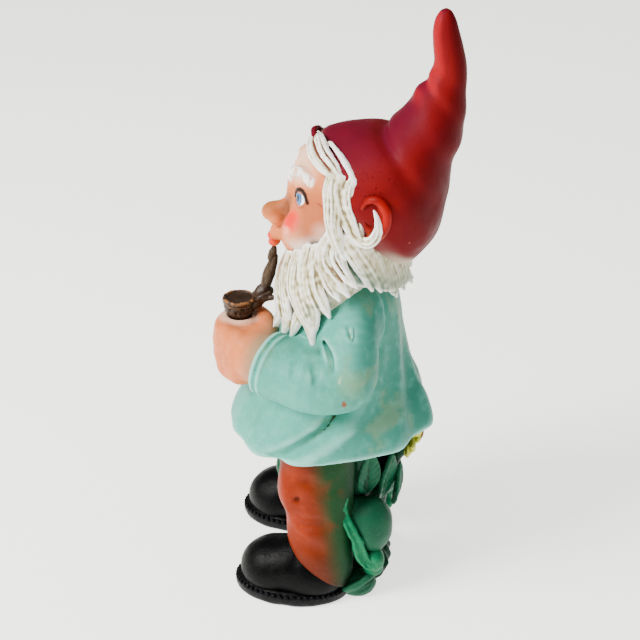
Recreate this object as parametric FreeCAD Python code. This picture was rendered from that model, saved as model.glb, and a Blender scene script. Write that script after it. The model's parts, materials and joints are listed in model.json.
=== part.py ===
"""Garden gnome with a pipe: a hollow fired-clay figure, made as separately cast pieces that are luted together.

Row frame: +Z up, the gnome faces -Y, its left side is +X, the floor is z = 0. Millimetres.
Pieces of the figure meet face to face. Only the pipe is loose: its bowl turns in the bore of the left fist.
"""

import FreeCAD
import Part

import math
import os

V = FreeCAD.Vector

# ---------------------------------------------------------------- driving dimensions
WALL = 5.0  # cast wall of the smock, the hat and the head
LEG_WALL = 4.5
SOLE_HEIGHT = 9.0
WELT = 2.6  # how far the sole stands out round the upper
VENT_R = 4.0  # firing vent through each sole
HEM_Z = 117.5  # height of the hem at the sides
HEM_RISE = 3.4  # degrees that the hem rises from front to back
NECK_Z = 230.0
HEAD = V(0, 12, 279)
HEAD_R = V(40, 43, 43)
MOUTH_Z = 241.0
PIPE_X, PIPE_Y = 3.0, -64.0  # axis of the bowl and of the bore in the fist
PIPE_TOP_Z, PIPE_END_Z = 203.0, 142.0
BOWL_R, BORE_R = 10.5, 8.0
PIPE_CLEARANCE = 0.4  # the pipe turns in the fist, and its mouthpiece stops short of the lips
FOOT_X = 40.0
FAR_FOOT_X = -43.0
TOE_IN, TOE_OUT = 6.0, 8.0  # degrees that the left and right foot turn from straight ahead


# ---------------------------------------------------------------- shape helpers
def ring(points):
    """Closed smooth wire through the points, with evenly spaced knots so that rings loft cleanly."""
    count = len(points)
    curve = Part.BSplineCurve()
    steps = [i / count for i in range(count + 1)]
    curve.interpolate(Points=points, PeriodicFlag=True, Parameters=steps)
    return Part.Wire(curve.toShape())


def level_ring(z, front, back, half_width, x=0.0, count=16):
    """Egg-shaped level section from y = front to y = back."""
    middle, half = (front + back) / 2, (back - front) / 2
    turns = [2 * math.pi * i / count for i in range(count)]
    return ring([V(x + half_width * math.cos(t), middle + half * math.sin(t), z) for t in turns])


def level_loft(sections, inset=0.0, x=0.0):
    """Solid through (z, front, back, half_width) sections, each drawn in by inset."""
    wires = [level_ring(z, f + inset, b - inset, w - inset, x) for z, f, b, w in sections]
    return Part.makeLoft(wires, True, False)


def limb(stations, count=12):
    """Solid through (x, y, z, radius) stations, each ring square to the path and none of them twisted."""
    wires = []
    side = V(1, 0, 0)
    if abs(stations[-1][0] - stations[0][0]) > abs(stations[-1][2] - stations[0][2]):
        side = V(0, 0, 1)
    for i, (x, y, z, radius) in enumerate(stations):
        before, after = stations[max(i - 1, 0)], stations[min(i + 1, len(stations) - 1)]
        along = (V(*after[:3]) - V(*before[:3])).normalize()
        side = (side - along * side.dot(along)).normalize()
        other = along.cross(side)
        turns = [2 * math.pi * k / count for k in range(count)]
        rim = [V(x, y, z) + side * (radius * math.cos(t)) + other * (radius * math.sin(t)) for t in turns]
        wires.append(ring(rim))
    return Part.makeLoft(wires, True, False)


def ellipsoid(centre, radii, turn=None):
    """Ellipsoid, turned by a FreeCAD rotation about its own centre."""
    scale = FreeCAD.Matrix()
    scale.scale(*radii)
    body = Part.makeSphere(1.0).transformGeometry(scale)
    body.Placement = FreeCAD.Placement(V(*centre), turn or FreeCAD.Rotation())
    return body


def box(low, high):
    return Part.makeBox(high[0] - low[0], high[1] - low[1], high[2] - low[2], V(*low))


def rod(start, end, radius):
    start, end = V(*start), V(*end)
    return Part.makeCylinder(radius, (end - start).Length, start, end - start)


def without(body, *others):
    for other in others:
        body = body.cut(other)
    return body


def largest(body):
    """The biggest solid of a cut, so that a shaving off a curved face isn't kept."""
    return max(body.Solids, key=lambda s: s.Volume)


# ---------------------------------------------------------------- smock
SMOCK = [  # z, front, back, half width
    (104, -71, 62, 63),
    (114, -72.5, 64, 66.5),
    (125, -68.5, 64, 66),
    (137, -61, 60, 62),
    (150, -53, 53, 57),
    (165, -46, 48, 53),
    (185, -37, 44, 49),
    (200, -29, 42, 46.5),
    (212, -20, 39.5, 41),
    (222, -10, 34.5, 32),
    (NECK_Z, -4, 28, 23),
]
SHOULDER = (40, 14, 200)
SLEEVE_PEG_R = 8.0
NECK_R = 17.0


def mirrored(point):
    return (-point[0], *point[1:])


def smock_solid():
    below = box((-90, -90, -40), (90, 90, 0))
    below.Placement = FreeCAD.Placement(V(0, 0, HEM_Z), FreeCAD.Rotation(V(1, 0, 0), HEM_RISE))
    return without(level_loft(SMOCK), below)


def smock_cavity():
    """The hollow inside the smock, which also runs out of the hem."""
    inner = [(z, f, b, w) for z, f, b, w in SMOCK if z < NECK_Z]
    inner[0] = (inner[0][0] - 6, *inner[0][1:])
    return level_loft(inner, WALL)


def peg(side):
    """Luting peg of a sleeve, which stands in a hole through the smock's shoulder."""
    x, y, z = SHOULDER
    return rod((side * (x - 5), y, z), (side * (x + 12), y, z), SLEEVE_PEG_R)


def smock():
    """Hollow coat with a round neck and a hole through each shoulder."""
    neck_hole = rod((0, HEAD.y, 212), (0, HEAD.y, NECK_Z + 3), NECK_R + 0.2)
    return without(smock_solid(), smock_cavity().fuse(neck_hole), peg(1), peg(-1))


# ---------------------------------------------------------------- head and hat
def head_solid():
    """Skull, features and the neck plug that stands in the smock, without the hollow."""
    skull = ellipsoid(HEAD, HEAD_R)
    neck = rod((0, HEAD.y, 216), (0, HEAD.y, 244), NECK_R)
    muzzle = ellipsoid((0, -17, 253), (23, 22.5, 19))
    cheeks = [ellipsoid((side * 17, -17, 262), (15, 15, 15)) for side in (1, -1)]
    nose = ellipsoid((0, -38, 264.5), (7.6, 10, 6.4), FreeCAD.Rotation(V(1, 0, 0), -18))
    lips = ellipsoid((0, -40, 244.5), (6.5, 4.6, 4.2))
    return skull.multiFuse([muzzle, *cheeks, nose, lips, neck]).removeSplitter()


def head():
    hollow = ellipsoid(HEAD, HEAD_R - V(WALL, WALL, WALL))
    throat = rod((0, HEAD.y, 214), (0, HEAD.y, 250), NECK_R - WALL)
    return without(head_solid(), hollow, throat)


HAT = [  # (front y, front z), (back y, back z), half width: rings from the brim to the tip
    ((-13, 317), (51, 237), 45),
    ((1, 321.5), (62, 255), 45.5),
    ((15, 323.5), (66.5, 275), 41.5),
    ((27, 325), (69, 295), 33),
    ((35, 331), (74, 311), 25),
    ((43, 344), (77, 328), 18),
    ((50.5, 354), (77, 346), 12.5),
    ((55, 366), (76.5, 363), 10.8),
    ((55.5, 380), (71.5, 378.5), 8.6),
]
HAT_TIP, HAT_TIP_R = (0, 62.5, 381), (8.2, 7.7, 17.5)


def hat_loft(inset, rings):
    wires = []
    for (front_y, front_z), (back_y, back_z), half_width in rings:
        front, back = V(0, front_y, front_z), V(0, back_y, back_z)
        middle, half = (front + back) * 0.5, (back - front) * 0.5
        half = half * ((half.Length - inset) / half.Length)
        turns = [2 * math.pi * k / 16 for k in range(16)]
        wires.append(ring([middle + half * math.sin(t) + V((half_width - inset) * math.cos(t), 0, 0)
                           for t in turns]))
    return Part.makeLoft(wires, True, False)


def hat_solid():
    return hat_loft(0.0, HAT).fuse(ellipsoid(HAT_TIP, HAT_TIP_R))


def hat(skull):
    return largest(without(hat_solid(), hat_loft(WALL, HAT[:7]), skull))


# ---------------------------------------------------------------- hair, beard and ears
SPLIT_Y = 6.0  # the beard lies in front of this plane and the nape hair behind it


def beard(skull, coat):
    mass = ellipsoid((0, -4, 224), (44, 31.5, 38))
    tip = limb([(30, -12, 222, 14), (31, -17, 205, 10), (30, -19, 192, 4)])
    tips = [tip, tip.mirror(V(0, 0, 0), V(1, 0, 0))]
    front_half = box((-60, -60, 180), (60, SPLIT_Y, 259))
    body = mass.multiFuse(tips).common(front_half)
    return largest(without(body, skull, coat))


NAPE = [  # z, front, back, half width
    (219, -20, 49.5, 45),
    (230, -24, 50, 45.5),
    (245, -26, 52, 44),
    (262, -26, 55, 42),
]


def nape_hair(skull, coat, cap):
    """Hair that hangs below the hat at the back, cut off on a slope from the cheeks to the collar."""
    back_half = box((-60, SPLIT_Y, 200), (60, 70, 270))
    below = box((-60, -30, -60), (60, 80, 0))
    below.Placement = FreeCAD.Placement(V(0, SPLIT_Y, 234), FreeCAD.Rotation(V(1, 0, 0), -20))
    return largest(without(level_loft(NAPE).common(back_half), below, skull, coat, cap))


LOCK = [  # x, y, z, radius, from the parting down to the beard
    (5, -15, 319, 4.5),
    (18, -11, 315, 5.5),
    (30, -2, 305, 6.0),
    (36, 3, 291, 6.5),
    (38.5, 3, 275, 7.5),
    (39.5, -1, 262, 7.0),
]


def lock(side, *neighbours):
    strand = limb([(side * x, y, z, r) for x, y, z, r in LOCK])
    return largest(without(strand, *neighbours))


def ear(side, *neighbours):
    shell = ellipsoid((side * 43.5, 28.5, 282), (14.5, 9.5, 6.5), FreeCAD.Rotation(V(0, 1, 0), 90 * side))
    return largest(without(shell, *neighbours))


# ---------------------------------------------------------------- arms, hands and pipe
LEFT_ARM = [(27, 14, 214, 12), (42, 15, 200, 15), (50, 15, 187, 17), (54, 12, 176, 19),  # shoulder to elbow
            (53, -6, 173, 20), (46, -24, 173, 20.5), (39, -40, 176, 20)]  # elbow to cuff
RIGHT_ARM = [(-27, 14, 214, 12), (-42, 15, 200, 15), (-50, 16, 187, 17), (-54, 13, 173, 18),
             (-54, -4, 166, 18), (-51, -22, 160, 18), (-46, -36, 156, 17.5)]
ELBOW = 3  # which station of an arm is its elbow
LEFT_FIST, LEFT_FIST_R = (11, -59, 167), (19.5, 19, 20.5)
RIGHT_FIST, RIGHT_FIST_R = (-37, -53, 152), (13, 16, 14)
WRIST_R = 12.0


def wrist(arm, fist):
    """Round wrist of a hand, from inside the fist to 12 mm inside the cuff."""
    cuff, before = V(*arm[-1][:3]), V(*arm[-2][:3])
    return rod(fist, cuff + (before - cuff).normalize() * 12, WRIST_R)


def sleeve(arm, fist, side, coat):
    x, y, z, radius = arm[ELBOW]
    elbow = Part.makeSphere(radius + 0.6, V(x, y, z))
    arm_solid = limb(arm[:ELBOW + 1]).fuse(elbow).fuse(limb(arm[ELBOW:]))
    arm_solid = largest(without(arm_solid, coat, wrist(arm, fist)))
    return largest(arm_solid.fuse(peg(side)))


BOWL_SEAT_Z = 190.6  # the bowl widens above this height


def bore():
    """The bore through the left fist that the bowl of the pipe turns in, with room above for the wide part."""
    seat = rod((PIPE_X, PIPE_Y, BOWL_SEAT_Z - PIPE_CLEARANCE), (PIPE_X, PIPE_Y, 215), BOWL_R + 1)
    return rod((PIPE_X, PIPE_Y, 130), (PIPE_X, PIPE_Y, 210), BORE_R).fuse(seat)


def left_hand(arm_solid, coat):
    palm = ellipsoid(LEFT_FIST, LEFT_FIST_R)
    thumb = limb([(14, -46, 176, 8), (6, -47, 186, 6.5), (-4, -53, 189, 5.5)])
    body = palm.multiFuse([thumb, wrist(LEFT_ARM, LEFT_FIST)])
    return largest(without(body, arm_solid, coat, bore()))


def right_hand(arm_solid, coat):
    body = ellipsoid(RIGHT_FIST, RIGHT_FIST_R).fuse(wrist(RIGHT_ARM, RIGHT_FIST))
    return largest(without(body, arm_solid, coat))


def pipe_bowl():
    """Bowl with a carved upper part above the fist and a plain shaft through it."""
    shaft_r = BORE_R - PIPE_CLEARANCE
    shaft = rod((PIPE_X, PIPE_Y, 152), (PIPE_X, PIPE_Y, BOWL_SEAT_Z), shaft_r)
    flare = Part.makeCone(shaft_r, BOWL_R, 4.0, V(PIPE_X, PIPE_Y, BOWL_SEAT_Z))
    drum = rod((PIPE_X, PIPE_Y, BOWL_SEAT_Z + 4), (PIPE_X, PIPE_Y, PIPE_TOP_Z - 4), BOWL_R)
    foot = Part.makeCone(3.4, shaft_r, 10, V(PIPE_X, PIPE_Y, PIPE_END_Z))
    return shaft.multiFuse([flare, drum, foot]).removeSplitter()


def pipe_rim():
    """Turned ring round the mouth of the bowl, with a shallow dish for the tobacco."""
    band = rod((PIPE_X, PIPE_Y, PIPE_TOP_Z - 4), (PIPE_X, PIPE_Y, PIPE_TOP_Z), BOWL_R + 0.6)
    dish = rod((PIPE_X, PIPE_Y, PIPE_TOP_Z - 2.5), (PIPE_X, PIPE_Y, PIPE_TOP_Z + 1), BOWL_R - 3)
    return without(band, dish)


SHANK_JOINT = (PIPE_X - 1, -48.5, 206)
MOUTHPIECE_END = (PIPE_X - 2, -39.5, 237)


def pipe_shank():
    """Short branch that leaves the bowl towards the beard and carries the stem."""
    branch = limb([(PIPE_X, -57, 197.5, 4), (PIPE_X, -52.5, 200.5, 4.6), (*SHANK_JOINT, 5.2)])
    return largest(without(branch, pipe_bowl(), pipe_rim()))


def pipe_stem():
    """Flattened stem, widest half way up, that ends just under the lips."""
    x, y, z = SHANK_JOINT
    end_x, end_y, end_z = MOUTHPIECE_END
    stations = [(x, y + 0.4, z + 1.5, 3.2), (x, y + 2.6, z + 9, 3.8), (end_x, end_y - 2.8, end_z - 12, 3.8),
                (end_x, end_y - 1, end_z - 4, 2.9)]
    return largest(without(limb(stations), pipe_shank()))


def pipe_mouthpiece():
    x, y, z = MOUTHPIECE_END
    bit = limb([(x, y - 1.8, z - 7, 2.5), (x, y - 0.8, z - 3, 2.7), (x, y, z, 2.2)])
    return largest(without(bit, pipe_stem()))


def pipe_cord():
    """Cord knotted round the joint of shank and stem, with one short tail."""
    x, y, z = SHANK_JOINT
    knot = Part.makeTorus(5.6, 1.8, V(x, y, z - 0.5), V(0, 0.35, 1))
    tail = limb([(x + 5, y + 2.5, z - 0.5, 1.9), (x + 6, y + 6, z + 0.3, 1.6), (x + 6.5, y + 9, z + 1.5, 0.9)])
    return largest(without(knot.fuse(tail), pipe_shank(), pipe_stem()))


# ---------------------------------------------------------------- trousers and shoes
LEG = [  # z, x, y, half width, half depth
    (12, 41.5, -3, 17.5, 18.5),
    (28, 41, -3, 19.5, 21),
    (44, 40, -4, 20.5, 23),
    (64, 38.5, -6, 20.5, 23),
    (84, 37, -8.5, 21, 25),
    (104, 34.5, -9, 22, 26),
    (132, 30, -7, 24, 27),
]
SEAT_Z = (128.0, 158.0)


def leg_loft(side, inset=0.0, low_extra=0.0):
    """Trouser leg, in the standing place of the left or right foot."""
    shift = 0.0 if side > 0 else -8.0  # the right foot is set forward
    wires = []
    for z, x, y, half_width, half_depth in LEG:
        if z == LEG[0][0]:
            z -= low_extra
        ahead = shift * (1 - (z - 12) / 120)
        wires.append(level_ring(z, y + ahead - half_depth + inset, y + ahead + half_depth - inset,
                                half_width - inset, side * x))
    return Part.makeLoft(wires, True, False)


def trouser_leg(side):
    return without(leg_loft(side), leg_loft(side, LEG_WALL, 1.0))


def trouser_seat():
    """Hips of the trousers: a cup that closes the legs and is luted into the smock."""
    low, high = SEAT_Z
    hips = smock_cavity().common(box((-90, -90, low), (90, 90, high)))
    inner = [(z, f, b, w) for z, f, b, w in SMOCK if 114 <= z <= 185]
    core = level_loft(inner, WALL + LEG_WALL).common(box((-90, -90, low + 6), (90, 90, high + 5)))
    return without(hips, core, leg_loft(1), leg_loft(-1))


def foot_place(side):
    """Left foot turned in a little, right foot set forward and turned out."""
    if side > 0:
        return FreeCAD.Placement(V(FOOT_X, -25, 0), FreeCAD.Rotation(V(0, 0, 1), -TOE_IN))
    return FreeCAD.Placement(V(FAR_FOOT_X, -35, 0), FreeCAD.Rotation(V(0, 0, 1), -TOE_OUT))


def foot_outline(z, grow):
    """Egg-shaped shoe outline about the middle of the foot, wide at the toe."""
    points = []
    for k in range(16):
        t = 2 * math.pi * k / 16
        ahead = -math.sin(t)
        width = 22.0 + 1.6 * ahead + grow
        points.append(V(width * math.cos(t), -ahead * (37.0 + grow), z))
    return ring(points)


def sole(side):
    plate = Part.makeLoft([foot_outline(0, WELT - 1.2), foot_outline(3, WELT),
                           foot_outline(SOLE_HEIGHT, WELT - 0.6)], True, False)
    vent = rod((0, 18, -1), (0, 18, SOLE_HEIGHT + 1), VENT_R)
    plate = without(plate, vent)
    plate.Placement = foot_place(side)
    return plate


def shoe(side):
    toe = ellipsoid((0, -13, 17.5), (22.5, 24.5, 22.5))
    heel = ellipsoid((0, 15, 14), (20.5, 22.5, 17.5))
    instep = ellipsoid((0, 4, 20), (21, 24, 23))
    upper = toe.multiFuse([heel, instep]).common(box((-40, -60, SOLE_HEIGHT), (40, 60, 60)))
    upper.Placement = foot_place(side)
    return largest(without(upper, leg_loft(side)))


# ---------------------------------------------------------------- plant behind the legs
LEAF_DOME = (33, 28, 51)


def ground_clump():
    """Low mound that the plant grows from, which also props the figure up behind."""
    mound = ellipsoid((0, 21, 0), (37, 23, 16))
    mound = mound.common(box((-60, -20, 0), (60, 70, 30)))
    return mound


def leaf_domes():
    """The two large folded leaves, one behind each leg."""
    x, y, z = LEAF_DOME
    tilt = FreeCAD.Rotation(V(1, 0, 0), -8)
    return [ellipsoid((side * x, y, z), (15.5, 15.5, 25), tilt) for side in (1, -1)]


def leaf_rim(side):
    """Rolled edge of a folded leaf, from the back of the knee down to the ground."""
    path = [(44, 11, 75, 3.0), (48, 16, 62, 3.6), (49, 20, 48, 4.2), (47, 26, 35, 4.6), (42, 33, 27, 4.0)]
    return limb([(side * x, y, z, r) for x, y, z, r in path])


def leaf_tip(side):
    return ellipsoid((side * 37, 32, 22), (10, 9.5, 10.5))


def ground_leaf(side):
    blade = ellipsoid((side * 35, 23, 7), (15, 16, 7.5), FreeCAD.Rotation(V(0, 0, 1), side * 24))
    return blade.common(box((-90, -90, 0), (90, 90, 40)))


def stalk():
    return limb([(0, 24, 8, 9), (0, 26, 40, 8), (-1, 31, 66, 7), (-1, 38, 84, 6), (-1, 51.5, 100, 4.5)])


UPPER_LEAVES = [  # foot of the blade, its half sizes, turn about x and about z in degrees
    ((15, 36, 79), (10, 5, 21), -16, -24),
    ((-17.2, 36.8, 79.5), (10, 5, 21), -16, 21),
    ((5, 43, 68), (8.5, 4.5, 18), -10, -6),
    ((26, 22, 93.5), (8, 6, 17), -8, -58),
    ((-27, 22, 93.5), (8, 6, 17), -8, 58),
]


def upper_leaf(number):
    centre, sizes, lean, turn = UPPER_LEAVES[number]
    rotation = FreeCAD.Rotation(V(0, 0, 1), turn).multiply(FreeCAD.Rotation(V(1, 0, 0), lean))
    return ellipsoid(centre, sizes, rotation)


def front_leaf():
    """Small leaf that laps the front of the right trouser leg above the shoe."""
    blades = [ellipsoid((-30, -38, 52), (12, 6, 15)), ellipsoid((-22, -34, 66), (8, 5, 11))]
    return blades[0].fuse(blades[1])


BLOSSOM = (-2, 54, 102)
PETALS = 9
PETAL_REACH, PETAL_NOTCH = 18.5, 12.5  # radius at the tip of a petal and in the notch between two


def blossom_turn():
    """The blossom faces back and a little down, square to local z."""
    return FreeCAD.Rotation(V(1, 0, 0), -112)


def petals():
    """Nine petals in one cast piece, with a notched outline and a rounded edge."""
    rings = []
    for z, inset in ((-2.0, 1.2), (0.0, 0.0), (2.2, 1.4)):
        points = []
        for k in range(4 * PETALS):
            t = 2 * math.pi * k / (4 * PETALS)
            notch = (1 - math.cos(PETALS * t)) / 2
            r = PETAL_REACH - inset - notch * (PETAL_REACH - PETAL_NOTCH)
            points.append(V(r * math.cos(t), r * math.sin(t), z))
        rings.append(ring(points))
    flower = Part.makeLoft(rings, True, False)
    flower.Placement = FreeCAD.Placement(V(*BLOSSOM), blossom_turn())
    return flower


def flower_eye():
    eye = ellipsoid((0, 0, 2.5), (6.6, 6.6, 4.6))
    eye.Placement = FreeCAD.Placement(V(*BLOSSOM), blossom_turn()).multiply(eye.Placement)
    return eye


# ---------------------------------------------------------------- assembly
def build():
    parts = {}
    coat, skull = smock_solid(), head_solid()
    parts["smock_body"] = smock()
    parts["head_shell"] = head()
    parts["hat"] = hat(skull)
    cap = hat_solid()
    parts["beard"] = beard(skull, coat)
    parts["nape_hair"] = nape_hair(skull, coat, cap)
    hair = [skull, cap, parts["beard"], parts["nape_hair"]]
    for side, name in ((1, "left"), (-1, "right")):
        parts[name + "_hair_lock"] = lock(side, *hair)
        parts[name + "_ear"] = ear(side, *hair, parts[name + "_hair_lock"])

    parts["left_sleeve"] = without(sleeve(LEFT_ARM, LEFT_FIST, 1, coat), parts["beard"], parts["nape_hair"])
    parts["right_sleeve"] = without(sleeve(RIGHT_ARM, RIGHT_FIST, -1, coat), parts["beard"],
                                    parts["nape_hair"])
    parts["left_hand"] = left_hand(parts["left_sleeve"], coat)
    parts["right_hand"] = right_hand(parts["right_sleeve"], coat)
    parts["pipe_bowl"] = pipe_bowl()
    parts["pipe_rim"] = pipe_rim()
    parts["pipe_shank"] = pipe_shank()
    parts["pipe_stem"] = pipe_stem()
    parts["pipe_mouthpiece"] = pipe_mouthpiece()
    parts["pipe_cord"] = pipe_cord()

    parts["trouser_seat"] = trouser_seat()
    legs = [leg_loft(1), leg_loft(-1)]
    for side, name in ((1, "left"), (-1, "right")):
        parts[name + "_trouser_leg"] = trouser_leg(side)
        parts[name + "_shoe"] = shoe(side)
        parts[name + "_sole"] = sole(side)

    feet = [parts[name] for name in ("left_shoe", "right_shoe", "left_sole", "right_sole")]
    taken = [*legs, *feet, parts["smock_body"]]
    plant = [("ground_clump", ground_clump())]
    plant += list(zip(("left_leaf", "right_leaf"), leaf_domes()))
    for side, name in ((1, "left"), (-1, "right")):
        plant.append((name + "_leaf_rim", leaf_rim(side)))
        plant.append((name + "_leaf_tip", leaf_tip(side)))
        plant.append((name + "_ground_leaf", ground_leaf(side)))
    plant.append(("flower_stalk", stalk()))
    plant += [("upper_leaf_%d" % (n + 1), upper_leaf(n)) for n in range(len(UPPER_LEAVES))]
    plant.append(("front_leaf", front_leaf()))
    plant.append(("flower_eye", flower_eye()))
    plant.append(("flower_petals", petals()))
    for name, body in plant:
        parts[name] = largest(without(body, *taken))
        taken.append(parts[name])
    return parts


def main():
    os.makedirs("parts", exist_ok=True)
    parts = build()
    extents = [body.optimalBoundingBox(False, False) for body in parts.values()]
    middle_x = (min(e.XMin for e in extents) + max(e.XMax for e in extents)) / 2
    middle_y = (min(e.YMin for e in extents) + max(e.YMax for e in extents)) / 2
    shift = V(-round(middle_x, 1), -round(middle_y, 1), 0)  # the origin is the middle of the footprint
    for name, body in sorted(parts.items()):
        body.translate(shift)
        body.exportStep("parts/%s.step" % name)
        print("%-18s %s solids %d volume %.0f" % (name, body.isValid(), len(body.Solids), body.Volume))
    print("shift", shift, "heights", min(e.ZMin for e in extents), max(e.ZMax for e in extents))
    print("pipe axis", V(PIPE_X, PIPE_Y, 0) + shift)


main()
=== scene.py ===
import json
import math

import bpy
import numpy as np
from mathutils import Matrix, Vector


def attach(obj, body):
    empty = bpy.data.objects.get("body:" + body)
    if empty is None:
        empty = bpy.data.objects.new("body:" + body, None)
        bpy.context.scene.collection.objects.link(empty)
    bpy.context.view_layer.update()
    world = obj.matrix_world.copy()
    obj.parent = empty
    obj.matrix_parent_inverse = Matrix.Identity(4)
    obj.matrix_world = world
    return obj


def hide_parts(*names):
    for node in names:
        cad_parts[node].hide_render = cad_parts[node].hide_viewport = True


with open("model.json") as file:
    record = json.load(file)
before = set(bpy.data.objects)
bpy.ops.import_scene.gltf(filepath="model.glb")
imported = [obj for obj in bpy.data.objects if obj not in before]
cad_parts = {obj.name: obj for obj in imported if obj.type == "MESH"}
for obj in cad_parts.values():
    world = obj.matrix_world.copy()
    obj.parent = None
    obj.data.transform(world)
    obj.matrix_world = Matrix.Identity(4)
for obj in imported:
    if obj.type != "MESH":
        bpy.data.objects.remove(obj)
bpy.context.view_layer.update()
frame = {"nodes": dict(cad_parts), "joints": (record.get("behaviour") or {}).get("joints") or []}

# Everything is modelled in millimetres in the figure's own place: x to its left, y to its back, z up.
PIPE_AXIS = (3.0, -64.0)
pin = frame["joints"][0]["pos_m"]
SHIFT = np.array([pin[0] * 1000 - PIPE_AXIS[0], pin[1] * 1000 - PIPE_AXIS[1], 0.0])
SIDES = ((1, "left"), (-1, "right"))
COLLAR_Z = 229.5  # top of the smock
HEM_Z = 117.5
HEM_RISE = 0.06  # how much higher the hem is for each millimetre towards the back


def noise(x, y, z, size, seed=0):
    """Smooth random heights from -1 to 1, one lump in each size millimetres."""
    lattice = np.random.RandomState(seed).uniform(-1, 1, (32, 32, 32))
    steps = []
    for c in (x, y, z):
        base = np.floor(c / size).astype(int)
        part = c / size - base
        part = part * part * (3 - 2 * part)
        steps.append(((base % 32, 1 - part), ((base + 1) % 32, part)))
    total = 0
    for i, wi in steps[0]:
        for j, wj in steps[1]:
            for k, wk in steps[2]:
                total = total + lattice[i, j, k] * (wi * wj * wk)
    return total


def curve(points, count=24):
    """Smooth curve through the points; any further columns, such as a radius, are carried along."""
    p = np.array(points, float)
    p = np.vstack([2 * p[0] - p[1], p, 2 * p[-1] - p[-2]])
    out = []
    for s in np.linspace(0, len(p) - 3 - 1e-9, count):
        i = int(s)
        t = s - i
        a, b, c, d = p[i:i + 4]
        out.append(0.5 * (2 * b + (c - a) * t + (2 * a - 5 * b + 4 * c - d) * t ** 2 +
                          (3 * b - a - 3 * c + d) * t ** 3))
    return np.array(out)


# ---------------------------------------------------------------- modelling clay
def soft_min(a, b, blend):
    blend = np.maximum(blend, 1e-6)
    gap = np.maximum(blend - np.abs(a - b), 0) / blend
    return np.minimum(a, b) - gap * gap * blend / 4


def soft_max(a, b, blend):
    return -soft_min(-a, -b, blend)


def egg(centre, radii, turn=None):
    """Ellipsoid. turn is (axis, degrees) about its own centre."""
    centre, radii = np.array(centre, float), np.array(radii, float)
    if turn:
        spin = np.array(Matrix.Rotation(math.radians(turn[1]), 3, turn[0])).T
    else:
        spin = np.eye(3)
    reach = np.full(3, radii.max()) if turn else radii

    def distance(x, y, z):
        x, y, z = x - centre[0], y - centre[1], z - centre[2]
        parts = [spin[i, 0] * x + spin[i, 1] * y + spin[i, 2] * z for i in range(3)]
        near = np.sqrt(sum((p / r) ** 2 for p, r in zip(parts, radii)))
        slope = np.sqrt(sum((p / r ** 2) ** 2 for p, r in zip(parts, radii)))
        return near * (near - 1) / np.maximum(slope, 1e-6)
    return distance, centre - reach, centre + reach


def rope(points, radius=None):
    """Round rope through (x, y, z, radius) points, or of one radius through (x, y, z) points."""
    p = np.array(points, float)
    if radius is not None:
        p = np.column_stack([p[:, :3], np.broadcast_to(radius, len(p))])

    def distance(x, y, z):
        best = None
        for a, b in zip(p, p[1:]):
            along = b[:3] - a[:3]
            t = ((x - a[0]) * along[0] + (y - a[1]) * along[1] + (z - a[2]) * along[2])
            t = np.clip(t / max(along @ along, 1e-9), 0, 1)
            d = np.sqrt((x - a[0] - t * along[0]) ** 2 + (y - a[1] - t * along[1]) ** 2 +
                        (z - a[2] - t * along[2]) ** 2) - (a[3] + t * (b[3] - a[3]))
            best = d if best is None else np.minimum(best, d)
        return best
    return distance, (p[:, :3] - p[:, 3:]).min(0), (p[:, :3] + p[:, 3:]).max(0)


def mirrored(points, side):
    """The points as they are for the left (side 1), or mirrored for the right (side -1)."""
    return [(side * x, *rest) for x, *rest in points]


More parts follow.
